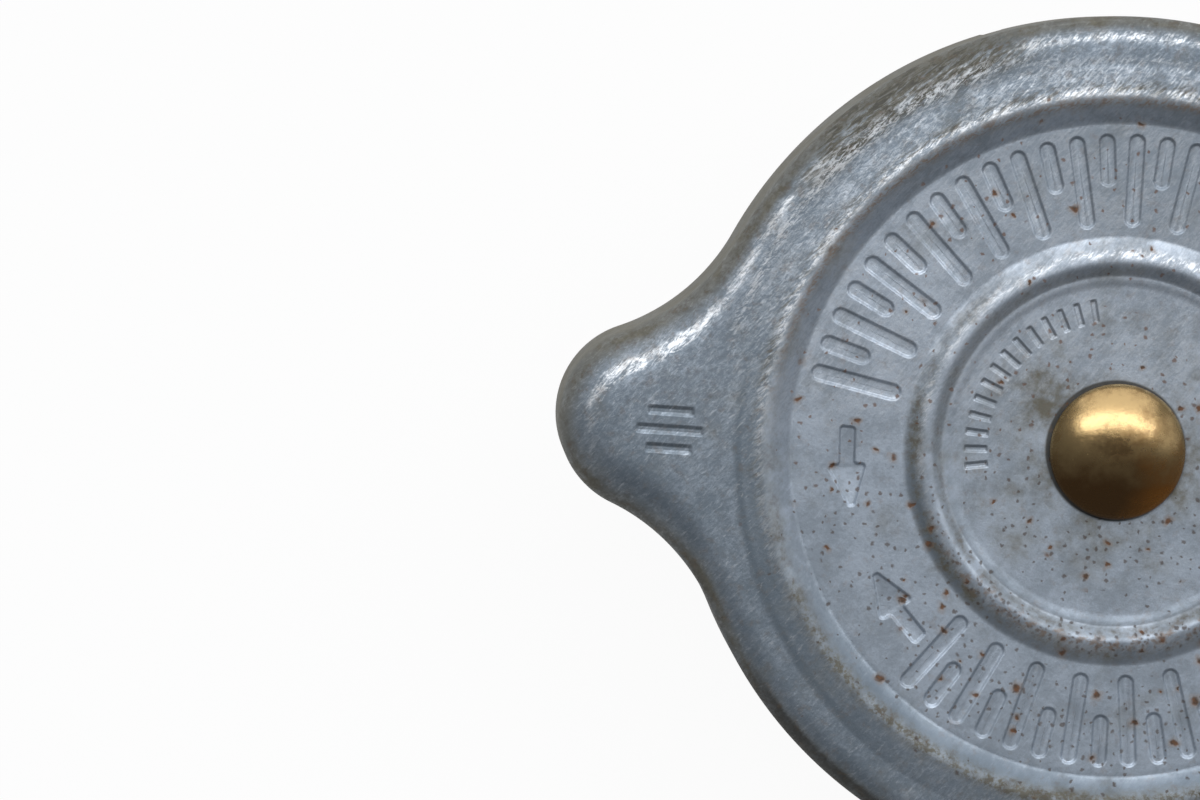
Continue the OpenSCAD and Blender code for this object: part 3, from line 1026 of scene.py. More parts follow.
        # Painted highlight with worn flecks: pale flecks through the grime on the upper-left shoulder.
        through = p.r.ring(31.1, 1.0) * m.grimy * (0.3 + 0.7 * m.clumps) * m.crisp * m.top
        tan = p.r.ring(26.95, 0.6) * (1 - m.low_side) * (1 - m.left) * m.rub.rise(0.45, 0.56)
        tan = tan + m.smear.rise(0.54, 0.70) * 0.30 * m.calm
        colour = p.mix(light, self.plating_and_shade(m), self.bright_wear_and_highlight)
        colour = p.mix(dirt_and_shade, colour, p.mix(black, self.olive, self.soot_and_shade))
        colour = p.mix(through * 0.75, colour, self.bright_wear_and_highlight)
        colour = p.mix(tan * 0.6, colour, self.stain)
        colour, large, pits, halo = self.rusted(m, colour)
        bare = 1 - (dirt_and_shade * (0.75 - 0.55 * through)).most(pits).most(halo * 0.4)
        relief = m.brush * (0.16 + 0.30 * m.outer) + m.grain * 0.75 + m.mottle * 0.5
        relief = relief - large * 0.4 - pits * 0.1
        return p.finish(
            Base_Color=colour,
            Metallic=bare.most(0.0),
            Roughness=0.53 + 0.12 * (1 - m.shade) + dirt_and_shade * 0.18 + pits * 0.2 - light * 0.10,
            Normal=p.bump(self.stamps(p) * -1, self.stamp_depth, p.bump(relief, self.relief_depth)),
        )


@dataclass(frozen=True)
class AgedBrass:
    """Brass with brown tarnish in the low places and rubbed highlights, with painted shade and a painted
    warm reflection on its lower side.
    """

    name: str = "aged_brass"
    gold: Colour = (0.53, 0.367, 0.168)
    brown: Colour = (0.12, 0.048, 0.010)
    warm_reflection: Colour = (0.58, 0.215, 0.030)
    spots: Colour = (0.045, 0.030, 0.014)
    tarnish: float = 0.5
    rough: float = 0.26
    brown_and_shade_side: float = 0.0
    coat: float = 0.3

    def material(self) -> Material:
        """The finish as a material.

        Returns:
            The material.
        """
        p = Paint(self.name)
        cloud = p.cloud(3.0, 5.0, 0.6)
        grain = p.cloud(0.5, 4.0, 0.7)
        rub = p.cloud(1.0, 3.0, 0.6, p.turned(12.0, (2.8, 0.4, 1.0)))
        low, high = 0.62 - 0.4 * self.tarnish, 0.86 - 0.3 * self.tarnish
        dull = (cloud * 0.7 + grain * 0.3).rise(low, high) * 0.75
        # Painted shade with tarnish: browner and darker towards -Y, the lower side.
        side = (cloud * 6.0 - 3.0 - p.y).rise(-1.4, 2.8) * self.brown_and_shade_side
        smudge = (1 - ((p.x * p.x + p.y * p.y) ** 0.5 + grain * 3.0 + cloud * 3.0).rise(3.0, 6.0)) * 0.7
        colour = p.mix(dull.most(side).most(smudge * self.brown_and_shade_side), self.gold, self.brown)
        # Painted reflection: a warm orange glint on the lower right.
        glow = (p.x - p.y * 0.3 + cloud * 3.0).rise(2.6, 6.4)
        colour = p.mix(glow * side * 0.75, colour, self.warm_reflection)
        pits = p.specks(1.1, 0.04, 0.13, 0.28)
        colour = p.mix(pits * 0.8, colour, self.spots)
        rough = self.rough + dull * 0.16 + rub * 0.08 + pits * 0.2
        relief = grain * 0.4 + rub * 0.3 + cloud * 0.6 - pits * 0.8
        return p.finish(
            Base_Color=colour,
            Metallic=1 - pits * 0.6,
            Roughness=rough,
            Coat_Weight=self.coat,
            Coat_Roughness=0.16,
            Coat_IOR=1.5,
            Normal=p.bump(relief, 0.022),
        )


@dataclass(frozen=True)
class BareSteel:
    """Steel of a spring, disc, cup or washer, with stains and a little rust."""

    name: str = "bare_steel"
    pale: Colour = (0.42, 0.43, 0.44)
    dull: Colour = (0.22, 0.22, 0.22)
    rust: Colour = (0.17, 0.075, 0.032)
    rusty: float = 0.2
    rough: float = 0.34

    def material(self) -> Material:
        """The finish as a material.

        Returns:
            The material.
        """
        p = Paint(self.name)
        cloud = p.cloud(4.0, 5.0, 0.6)
        grain = p.cloud(0.45, 3.0, 0.7)
        drawn = p.cloud(0.8, 3.0, 0.6, p.turned(0.0, (1.0, 1.0, 0.16)))
        shade = (cloud * 0.6 + drawn * 0.4).rise(0.38, 0.62)
        colour = p.mix(shade, self.dull, self.pale)
        bloom = (cloud * 0.65 + grain * 0.35).rise(0.66 - 0.2 * self.rusty, 0.80 - 0.2 * self.rusty)
        specks = p.specks(1.2, 0.06, 0.22, self.rusty)
        red = (bloom * 0.7 + specks).least(1.0) * min(1.0, 0.4 + self.rusty)
        colour = p.mix(red, colour, self.rust)
        return p.finish(
            Base_Color=colour,
            Metallic=1 - red * 0.85,
            Roughness=self.rough + (1 - shade) * 0.12 + red * 0.35,
            Normal=p.bump(grain * 0.5 + drawn * 0.4 + red * 0.4, 0.020),
        )


@dataclass(frozen=True)
class BlackRubber:
    """Moulded rubber with a dusty bloom and the shiny ring that the seat has pressed into it."""

    black: Colour = (0.018, 0.018, 0.019)
    dust: Colour = (0.090, 0.086, 0.080)
    seat_r: float = 16.3

    def material(self) -> Material:
        """The finish as a material.

        Returns:
            The material.
        """
        p = Paint("black_rubber")
        cloud = p.cloud(3.5, 5.0, 0.6)
        grain = p.cloud(0.35, 3.0, 0.7)
        seat = p.r.ring(self.seat_r, 0.8) * (1 - p.z.rise(0.05, 0.3))
        dust = (cloud * 0.7 + grain * 0.3).rise(0.46, 0.70) * (1 - seat * 0.8)
        colour = p.mix(dust * 0.7, self.black, self.dust)
        return p.finish(
            Base_Color=colour,
            Roughness=0.58 + dust * 0.28 - seat * 0.22,
            Normal=p.bump(grain * 0.6 + cloud * 0.3 - seat * 1.5, 0.04),
        )


@dataclass
class Marks:
    """Marks stamped into the cover's band: two groups of ticks and two arrows, as closed outlines."""

    outer_r: float = 24.4
    long_tick: float = 7.0
    short_tick: float = 3.9
    stroke: float = 1.15
    pitch: float = 5.6
    groups: tuple[tuple[float, int], ...] = ((34.5, 25), (231.5, 16))
    arrow_r: float = 20.9
    arrows: tuple[tuple[float, float], ...] = ((178.4, 196.5), (227.4, 209.3))
    head_length: float = 3.7
    head_width: float = 3.0
    arrow_corner: float = 0.27

    def ticks(self, start: float, number: int) -> list[np.ndarray]:
        """Outlines of one group of ticks, laid out by Geometry Nodes.

        Args:
            start: Angle of the first tick in degrees.
            number: How many ticks.

        Returns:
            One outline for each tick.
        """
        recipe = Recipe("tick_marks")
        sizes = {
            "Number": number,
            "Start": math.radians(start),
            "Pitch": math.radians(self.pitch),
            "Outer radius": self.outer_r,
            "Stroke": self.stroke,
            "Long": self.long_tick,
            "Short": self.short_tick,
        }
        number_in, start_in, pitch_in, outer_in, stroke_in, *lengths = recipe.inlets(sizes)
        line = recipe.out("GeometryNodeMeshLine", {}, {"Count": number_in, "Offset": (0.0, 0.0, 0.0)})
        index = recipe.out("GeometryNodeInputIndex", {}, {})
        odd = index.modulo(2.0)
        turn = recipe.vector(0.0, 0.0, start_in + index * pitch_in)
        join = recipe.tree.nodes.new("GeometryNodeJoinGeometry")
        for wanted, length in enumerate(lengths):
            sides = {"Width": length, "Height": stroke_in}
            box = recipe.out("GeometryNodeCurvePrimitiveQuadrilateral", {}, sides)
            round_ends = {"Curve": box, "Radius": stroke_in * 0.499, "Count": 7, "Limit Radius": True}
            tick = recipe.out("GeometryNodeFilletCurve", {"mode": "POLY"}, round_ends)
            place = recipe.vector(outer_in - length * 0.5, 0.0, 0.0)
            moved = recipe.out("GeometryNodeTransform", {}, {"Geometry": tick, "Translation": place})
            chosen = recipe.out("FunctionNodeCompare", {"operation": "EQUAL"}, {0: odd, 1: float(wanted)})
            sockets = {"Points": line, "Selection": chosen, "Instance": moved, "Rotation": turn}
            laid = recipe.out("GeometryNodeInstanceOnPoints", {}, sockets)
            recipe.tree.links.new(laid.socket, join.inputs[0])
        real = recipe.out("GeometryNodeRealizeInstances", {}, {0: join.outputs[0]})
        edges = recipe.out("GeometryNodeCurveToMesh", {}, {"Curve": real})
        draft = recipe.run("tick_marks", edges, bpy.data.materials.new("tick_draft"))
        loops = loops_of(draft.data)
        bpy.data.objects.remove(draft)
        return loops

    def arrow(self, tail: float, tip: float) -> np.ndarray:
        """Outline of an arrow that follows the band.

        Args:
            tail: Angle of its tail in degrees.
            tip: Angle of its tip in degrees.

        Returns:
            The outline.
        """
        long = math.radians(abs(tip - tail)) * self.arrow_r
        neck = long - self.head_length
        half = self.stroke / 2
        side = self.head_width / 2
        corners = [(0.0, -half), (neck, -half), (neck, -side), (long, 0.0)]
        corners += [(along, -across) for along, across in reversed(corners[:3])]
        way = 1 if tip > tail else -1
        points = []
        for along, across in rounded(corners, self.arrow_corner, 5):
            a = math.radians(tail) + way * along / self.arrow_r
            points.append(((self.arrow_r + across) * math.cos(a), (self.arrow_r + across) * math.sin(a)))
        return counter_clockwise(np.array(points))

    def outlines(self) -> list[np.ndarray]:
        """Every mark's outline in the XY plane, in millimetres."""
        loops = [loop for start, number in self.groups for loop in self.ticks(start, number)]
        return loops + [self.arrow(tail, tip) for tail, tip in self.arrows]


class SubAssembly:
    """Pieces of the cap that are built and dressed together."""

    def build(self) -> Pieces:
        """Make the pieces.

        Returns:
            Each piece by the CAD node that it stands for.
        """
        raise NotImplementedError

    def dress(self, pieces: Pieces, materials: Materials) -> None:
        """Give the pieces their finishes, and let each ride its body and stand for its CAD node.

        Args:
            pieces: Each piece by the CAD node that it stands for.
            materials: The materials by slot.
        """
        for node, piece in pieces.items():
            body, slot = SEATS[node]
            piece.data.materials.clear()
            piece.data.materials.append(materials[slot])
            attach(piece, body.value)
            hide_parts(node)
            piece.data.calc_loop_triangles()
            log.info("%s: %d triangles on %s", piece.name, len(piece.data.loop_triangles), body.value)


@dataclass
class Cover(SubAssembly):
    """The pressed cover with its bead, band, rim, ears, skirt and bayonet lugs."""

    radius: float = 33.5
    sheet: float = 0.9
    shoulder: float = 2.5
    ear_shoulder: float = 3.8
    shy: float = 0.015
    bevel: float = 0.13
    hole_r: float = 2.55
    flat_rows: tuple[float, ...] = (5.2, 8.5, 11.6)
    flat_r: float = 12.55
    centre_z: float = 24.55
    step_r: float = 13.45
    step_z: float = 24.68
    step_width: float = 0.05
    bead_r: float = 14.7
    bead_z: float = 25.4
    bead_foot_r: float = 16.6
    band_margin: float = 0.08
    band_r: float = 25.2
    band_z: float = 24.65
    crest_r: float = 27.4
    crest_z: float = 25.85
    fall_r: tuple[float, ...] = (27.48, 27.6, 27.75, 27.9, 28.1, 28.5, 28.9, 29.3, 29.65, 29.78)
    fall_tilt: tuple[float, ...] = (5.0, 10.0, 15.0, 13.0, 9.5, 8.0, 8.5, 9.0, 9.5, 13.0)
    ledge_r: float = 29.9
    ledge_z: float = 25.4
    ledge_run: float = 1.5
    tilt: float = 3.5
    ear_tilt: float = 1.2
    wall_rows: tuple[float, ...] = (20.6, 18.4)
    relief: float = 1.6
    relief_z: float = 16.9
    lip_z: float = 15.1
    skirt_z: float = 14.3
    tip_r: float = 7.2
    tip_x: float = 35.9
    hollow_r: float = 16.0
    hollow: Point = (44.5797, 21.5152)
    lug_angle: float = 36.0
    lug_reach: float = 27.6
    lug_bend: float = 1.7
    mark_depth: float = 0.17
    mark_slope: float = 0.15
    mark_guard: float = 0.19
    hollow_steps: int = 34
    tip_steps: int = 46
    skirt_steps: int = 58
    slot_steps: int = 4
    lug_steps: int = 50
    ledge_steps: int = 7
    shoulder_steps: int = 14
    marks: Marks = field(default_factory=Marks)

    def columns(self) -> tuple[np.ndarray, np.ndarray, np.ndarray, np.ndarray, np.ndarray]:
        """Columns of the grid round the outline.

        Returns:
            Ring angles, points where the shoulder's bend starts, outward directions, radii of the bend, and
            what stands below each column's right-hand cell.
        """
        x, y = self.hollow
        skirt_at = math.degrees(math.atan2(y, x))
        tip_at = math.degrees(math.atan2(y, x - self.tip_x))
        arcs = (
            ((x, -y), self.hollow_r, 180 - skirt_at, 180 - tip_at, self.hollow_steps, -1, (0, 1)),
            ((self.tip_x, 0.0), self.tip_r, -tip_at, tip_at, self.tip_steps, 1, (1, 1)),
            ((x, y), self.hollow_r, 180 + tip_at, 180 + skirt_at, self.hollow_steps, -1, (1, 0)),
        )
        wall: list[Point] = []
        out: list[Point] = []
        bend: list[float] = []
        for centre, radius, first, last, steps, way, (low, high) in arcs:
            for i, p in enumerate(arc(centre, radius, first, last, steps)[:-1]):
                wall.append(p)
                out.append((way * (p[0] - centre[0]) / radius, way * (p[1] - centre[1]) / radius))
                share = low + (high - low) * i / steps
                ease = share * share * (3 - 2 * share)
                bend.append(self.shoulder + (self.ear_shoulder - self.shoulder) * ease)
        count = len(wall)
        angle = [-skirt_at + 2 * skirt_at * i / count for i in range(count)]
        below = [Below.SKIRT] * count
        slot = math.degrees(self.relief / self.radius)
        lug = self.lug_angle / 2
        edges = [skirt_at, 90 - lug - slot, 90 - lug, 90 + lug, 90 + lug + slot, 180 - skirt_at]
        steps_of = {Below.SKIRT: self.skirt_steps, Below.SLOT: self.slot_steps, Below.LUG: self.lug_steps}
        kinds = (Below.SKIRT, Below.SLOT, Below.LUG, Below.SLOT, Below.SKIRT)
        for kind, first, last in zip(kinds, edges, edges[1:]):
            steps = steps_of[kind]
            for i in range(steps):
                a = first + (last - first) * i / steps
                n = (math.cos(math.radians(a)), math.sin(math.radians(a)))
                angle.append(a)
                wall.append((self.radius * n[0], self.radius * n[1]))
                out.append(n)
                bend.append(self.shoulder)
                below.append(kind)
        start = np.array(wall) - np.array(out) * (np.array(bend) + self.shy)[:, None]
        turn = np.radians(angle)
        return (
            np.concatenate([turn, turn + math.pi]),
            np.concatenate([start, -start]),
            np.concatenate([out, -np.array(out)]),
            np.concatenate([bend, bend]),
            np.concatenate([below, below]),
        )

    def face(self) -> list[tuple[Point, bool]]:
        """Rows of the pressed face from the hole to the ledge.

        Returns:
            Radius and height of each row, and whether the under skin has that row too.
        """
        margin = self.band_margin
        step, crown = (self.step_r, self.step_z), (self.bead_r, self.bead_z)
        flat = [(r, self.centre_z) for r in (self.hole_r, *self.flat_rows)]
        foot = pressed((self.flat_r, self.centre_z), step, 6)
        inner = pressed((self.step_r + self.step_width, self.step_z), crown, 13, 0.15, 0.45)
        outer = pressed(crown, (self.bead_foot_r, self.band_z), 16, 0.4, 0.12)[1:]
        band = [(self.bead_foot_r + margin, self.band_z), (self.band_r - margin, self.band_z)]
        slope = pressed((self.band_r, self.band_z), (self.crest_r, self.crest_z), 16, 0.09, 0.36)
        fall = []
        r, z = self.crest_r, self.crest_z
        for next_r, tilt in zip((*self.fall_r, self.ledge_r), (*self.fall_tilt, self.tilt)):
            z -= (next_r - r) * math.tan(math.radians(tilt))
            r = next_r
            fall.append((r, z))
        rows = flat + foot + inner + outer + band + slope + fall
        needed = (rows[0], *band, rows[-1])
        return [(row, row in needed or i % 4 == 0) for i, row in enumerate(rows)]

    def build(self) -> Pieces:
        """Make the cover as one pressed sheet.

        Returns:
            The cover by its CAD node.
        """
        angle, start, out, bend, below = self.columns()
        count = len(angle)
        ring = np.stack([np.cos(angle), np.sin(angle)], axis=1)
        face = self.face()
        rows = [self._level(ring * r, z, kept) for (r, z), kept in face]
        band_start = self.bead_foot_r + self.band_margin
        band_row = next(i for i, ((r, _), _) in enumerate(face) if abs(r - band_start) < 1e-6)
        first = ring * self.ledge_r
        ledge_z = face[-1][0][1]
        for i in range(1, self.ledge_steps):
            flat = first + (start - first) * i / self.ledge_steps
            rows.append(self._level(flat, self._lean(ledge_z, flat - first), i == 4))
        edge_z = self._lean(ledge_z, start - first)
        wall_z = self.ledge_z - bend
        lean = math.radians(self.tilt)
        for i in range(self.shoulder_steps + 1):
            a = lean + (math.pi / 2 - lean) * i / self.shoulder_steps
            reach = (math.sin(a) - math.sin(lean)) / (1 - math.sin(lean))
            climb = math.cos(a) / math.cos(lean)
            upper = self._at(start + out * (bend * reach)[:, None], wall_z + (edge_z - wall_z) * climb)
            under = start + out * ((bend - self.sheet) * reach)[:, None]
            lower = self._at(under, wall_z + (edge_z - self.sheet - wall_z) * climb)
            rows.append((upper, lower, i % 2 == 0))
        wall = start + out * bend[:, None]
        lining = start + out * (bend - self.sheet)[:, None]
        bend_z = self.skirt_z + self.lug_bend
        for z in (*self.wall_rows, self.relief_z, bend_z, self.lip_z, self.skirt_z):
            rows.append((self._at(wall, z), self._at(lining, z), True))
        ends = {Below.SKIRT: len(rows) - 1, Below.SLOT: len(rows) - 4, Below.LUG: len(rows) - 3}
        sheet = Sheet()
        grid = [[sheet.point(u[k], d[k]) for k in range(count)] for u, d, _ in rows]
        for k in range(count):
            m = (k + 1) % count
            end = ends[int(below[k])]
            for i in range(end):
                corners = (grid[i][k], grid[i + 1][k], grid[i + 1][m], grid[i][m])
                sheet.cell(corners, on_outer=i != band_row, on_inner=False)
            kept = [i for i in range(end + 1) if rows[i][2] or i == end]
            for i, j in zip(kept, kept[1:]):
                sheet.inner_faces.append((grid[i][k], grid[j][k], grid[j][m], grid[i][m]))
        self._lugs(sheet, grid[ends[Below.LUG]], ring, below)
        points, faces = self._band(grid[band_row], grid[band_row + 1], sheet)
        piece = sheet.piece("cover_pressing", points, faces)
        soften(piece, self.bevel)
        return {"cover_shell": piece}

    def _level(self, flat: np.ndarray, z: Any, kept: bool) -> tuple[np.ndarray, np.ndarray, bool]:
        """One row of both skins, at a height of the outer one, and whether the under skin keeps it."""
        return self._at(flat, z), self._at(flat, z - self.sheet), kept

    @staticmethod
    def _at(flat: np.ndarray, z: Any) -> np.ndarray:
        """Points of the plane at one height, or each at its own height."""
        return np.column_stack([flat, np.broadcast_to(z, len(flat))])

    def _lean(self, z: float, steps: np.ndarray) -> np.ndarray:
        """Heights of the ledge and the ears, which lean outwards.

        Args:
            z: Height where the ledge starts.
            steps: Steps from there in the plane.

        Returns:
            The heights.
        """
        away = np.linalg.norm(steps, axis=1)
        near = np.minimum(away, self.ledge_run) * math.tan(math.radians(self.tilt))
        far = np.maximum(away - self.ledge_run, 0.0) * math.tan(math.radians(self.ear_tilt))
        return z - near - far

    def _lugs(self, sheet: Sheet, bend: list[int], ring: np.ndarray, below: np.ndarray) -> None:
        """Add the lugs that are turned in from the skirt.

        Args:
            sheet: The sheet to add to.
            bend: Points where the bends start.
            ring: Directions of the columns.
            below: What stands below each column.
        """
        count = len(bend)
        centre = (self.radius - self.lug_bend, self.skirt_z + self.lug_bend)
        outside = arc(centre, self.lug_bend, 0, -90, 8)[1:]
        inside = arc(centre, self.lug_bend - self.sheet, 0, -90, 8)[1:]
        for share in (0.35, 0.7, 1.0):
            r = centre[0] + (self.lug_reach - centre[0]) * share
            outside.append((r, self.skirt_z))
            inside.append((r, self.skirt_z + self.sheet))
        above = {k: bend[k] for k in range(count)}
        for (r, z), (under_r, under_z) in zip(outside, inside):
            here: dict[int, int] = {}
            for k in range(count):
                if Below.LUG in (below[k], below[k - 1]):
                    x, y = ring[k]
                    here[k] = sheet.point((r * x, r * y, z), (under_r * x, under_r * y, under_z))
            for k in range(count):
                m = (k + 1) % count
                if below[k] == Below.LUG:
                    sheet.cell((above[k], here[k], here[m], above[m]))
            above = {**above, **here}

    def _band(
        self, inner: list[int], outer: list[int], sheet: Sheet
    ) -> tuple[list[Any], list[tuple[int, ...]]]:
        """Fill the band's upper face, with the marks sunk into it.

        Args:
            inner: Points of the ring at the bead's foot.
            outer: Points of the ring at the rim's foot.
            sheet: The sheet that holds those points.

        Returns:
            New points, and faces numbered past the sheet's own points.
        """
        base = len(sheet.outer)
        points: list[tuple[float, float, float]] = []
        faces: list[tuple[int, ...]] = []
        numbers = list(inner) + list(outer)
        flat = [tuple(sheet.outer[i][:2]) for i in numbers]
        edges = [(i, (i + 1) % len(inner)) for i in range(len(inner))]
        edges += [(len(inner) + i, len(inner) + (i + 1) % len(outer)) for i in range(len(outer))]
        wall = pressed((-self.mark_slope, 0.0), (self.mark_slope, 1.0), 6)
        holes = []
        for outline in self.marks.outlines():
            guard = inset(outline, -self.mark_guard)
            holes.append(guard)
            first = len(flat)
            rings = []
            sunk = [(inset(outline, away), share * self.mark_depth) for away, share in wall]
            for loop, depth in [(guard, 0.0)] + sunk:
                rings.append([base + len(points) + i for i in range(len(loop))])
                points.extend((x, y, self.band_z - depth) for x, y in loop)
            numbers += rings[0]
            flat += [tuple(p) for p in guard]
            edges += [(first + i, first + (i + 1) % len(guard)) for i in range(len(guard))]
            for upper, lower in zip(rings, rings[1:]):
                for i in range(len(upper)):
                    m = (i + 1) % len(upper)
                    faces.append((upper[i], upper[m], lower[m], lower[i]))
            faces.append(tuple(rings[-1]))
        cut = geometry.delaunay_2d_cdt([Vector(p) for p in flat], edges, [], 0, 1e-6)
        spots, triangles, origins = cut[0], cut[2], cut[3]
        low = np.linalg.norm(sheet.outer[inner[0]][:2])
        high = np.linalg.norm(sheet.outer[outer[0]][:2])
        for triangle in triangles:
            middle = sum((spots[i] for i in triangle), Vector((0.0, 0.0))) / 3
            if low < middle.length < high and not any(self._inside(middle, hole) for hole in holes):
                faces.append(tuple(numbers[origins[i][0]] for i in triangle))
        return points, faces

    @staticmethod
    def _inside(spot: Vector, loop: np.ndarray) -> bool:
        """Whether a spot lies inside an outline.

        Args:
            spot: The spot.
            loop: The outline's points.

        Returns:
            True if it does.
        """
        if np.abs(loop - np.array(spot)).max(axis=1).min() > 4.0:
            return False
        x, y = loop[:, 0] - spot.x, loop[:, 1] - spot.y
        u, v = np.roll(x, -1), np.roll(y, -1)
        turn = np.arctan2(x * v - y * u, x * u + y * v).sum()
        return bool(abs(turn) > math.pi)


@dataclass
class Rivet(SubAssembly):
    """The brass rivet with its domed head, shank and clinched tail."""

    head_r: float = 5.25
    head_h: float = 2.4
    head_z: float = 24.55
    edge_h: float = 0.35
    edge_r: float = 0.22
    edge_lift: float = 0.24
    shank_r: float = 2.5
    tail_r: float = 4.5
    tail_t: float = 0.8
    tail_z: float = 21.5
    tail_corner: float = 0.3
    hollow_r: float = 1.5
    hollow_h: float = 1.5
    dent: float = 0.030
    dent_scale: float = 260.0
    worn_r: float = 2.2

    def build(self) -> Pieces:
        """Make the rivet, with small dents in its head and its top worn flat.

        Returns:
            The rivet by its CAD node.
        """
        dome_h = self.head_h - self.edge_h
        dome_r = (self.head_r**2 + dome_h**2) / (2 * dome_h)
        rim = math.degrees(math.acos(self.head_r / dome_r))
        dome = arc((0.0, self.head_z + self.head_h - dome_r), dome_r, rim, 90.0, 26)
        dome = [(r if r > 1e-4 else 0.0, z) for r, z in dome if r < self.head_r - 0.08]
        edge = arc((self.head_r - self.edge_r, self.head_z + self.edge_lift), self.edge_r, -80, 20, 6)
        tail, top, corner = self.tail_z, self.tail_z + self.tail_t, self.tail_corner
        under = [(0.0, tail + self.hollow_h), (self.hollow_r, tail + self.hollow_h)]
        under += [(self.hollow_r, tail + 0.12), (self.hollow_r + 0.25, tail)]
        under += arc((self.tail_r - corner, tail + corner), corner, -90, 0, 4)
        under += arc((self.tail_r - corner, top - corner), corner, 0, 90, 4)
        under += [(self.shank_r, top), (self.shank_r, self.head_z)]
        under += [(self.head_r - self.edge_h, self.head_z)]
        piece = turned_piece("brass_rivet", under + edge + dome, 128, 45.0)
        for vertex in piece.data.vertices:
            if vertex.co.z / MM > self.head_z + 0.6:
                dent = noise.fractal(vertex.co * self.dent_scale, 1.0, 2.0, 3) * self.dent
                worn = max(0.0, 1 - (vertex.co.xy.length / MM / self.worn_r) ** 2) * self.dent
                vertex.co.z += (min(0.0, dent) - worn) * MM
        return {"centre_rivet": piece}


@dataclass
class SealDisc(SubAssembly):
    """The sprung steel disc under the cover."""

    hole_r: float = 2.55
    clamp_r: float = 13.9
    slope_r: float = 20.95
    radius: float = 26.8
    sheet: float = 0.45
    disc_z: float = 23.2
    dish: float = 1.6
    edge_h: float = 1.1
    bevel: float = 0.08

    def build(self) -> Pieces:
        """Make the disc as a turned sheet.

        Returns:
            The disc by its CAD node.
        """
        top = self.disc_z + self.sheet
        seal = top - self.dish
        edge = self.edge_h - self.sheet
        upper = [(self.hole_r, top)]
        upper += pressed((self.clamp_r, top), (self.slope_r, seal), 16)
        upper += pressed((self.radius - edge, seal), (self.radius, seal + edge), 8)
        lower = [(r, z - self.sheet) for r, z in reversed(upper)]
        piece = turned_piece("seal_disc", upper + lower, 192)
        soften(piece, self.bevel)
        return {"spring_disc": piece}


@dataclass
class Bell(SubAssembly):
    """The inverted cup that hangs on the rivet, with fingers bent in under the valve's flange."""

    hole_r: float = 2.55
    radius: float = 16.3
    sheet: float = 0.7
    top_z: float = 23.1
    roof_rows: tuple[float, ...] = (6.0, 10.0)
    wall_rows: tuple[float, ...] = (17.0, 13.0)
    bend: float = 2.6
    finger_z: float = 7.1
    finger_r: float = 14.0
    finger_bend: float = 1.05
    slot_z: float = 9.5
    fingers: int = 6
    finger_angle: float = 34.0
    slot_steps: int = 12
    finger_steps: int = 16
    bevel: float = 0.12

    def rows(self) -> list[tuple[Point, Point]]:
        """Outer and inner point of each row, from the hole down to the fingers' ends.

        Returns:
            The pairs of points.
        """
        roof = (self.radius - self.bend, self.top_z - self.bend)
        lip = (self.radius - self.finger_bend, self.finger_z + self.finger_bend)
        flat = (self.hole_r, *self.roof_rows)
        rows = [((r, self.top_z), (r, self.top_z - self.sheet)) for r in flat]
        rows += zip(arc(roof, self.bend, 90, 0, 12), arc(roof, self.bend - self.sheet, 90, 0, 12))
        for z in (*self.wall_rows, self.slot_z):
            rows.append(((self.radius, z), (self.radius - self.sheet, z)))
        tight = self.finger_bend - self.sheet
        rows += zip(arc(lip, self.finger_bend, 0, -90, 8), arc(lip, tight, 0, -90, 8))
        rows.append(((self.finger_r, self.finger_z), (self.finger_r, self.finger_z + self.sheet)))
        return rows

    def build(self) -> Pieces:
        """Make the bell as one sheet with its slots cut out.

        Returns:
            The bell by its CAD node.
        """
        pitch = 360 / self.fingers
        gap = pitch - self.finger_angle
        angles: list[float] = []
        solid: list[bool] = []
        for i in range(self.fingers):
            middle = 90 + pitch * i
            slot = (False, middle - gap / 2, gap, self.slot_steps)
            finger = (True, middle + gap / 2, self.finger_angle, self.finger_steps)
            for is_finger, start, span, steps in (slot, finger):
                angles += [start + span * k / steps for k in range(steps)]
                solid += [is_finger] * steps
        rows = self.rows()
        slot_row = next(i for i, (outer, _) in enumerate(rows) if outer == (self.radius, self.slot_z))
        sheet = Sheet()
        grid = []
        for (r, z), (s, w) in rows:
            line = []
            for a in np.radians(angles):
                x, y = math.cos(a), math.sin(a)
                line.append(sheet.point((r * x, r * y, z), (s * x, s * y, w)))
            grid.append(line)
        count = len(angles)
        for k in range(count):
            m = (k + 1) % count
            for i in range(len(rows) - 1 if solid[k] else slot_row):
                sheet.cell((grid[i][k], grid[i + 1][k], grid[i + 1][m], grid[i][m]))
        piece = sheet.piece("spring_housing")
        soften(piece, self.bevel)
        return {"spring_bell": piece}


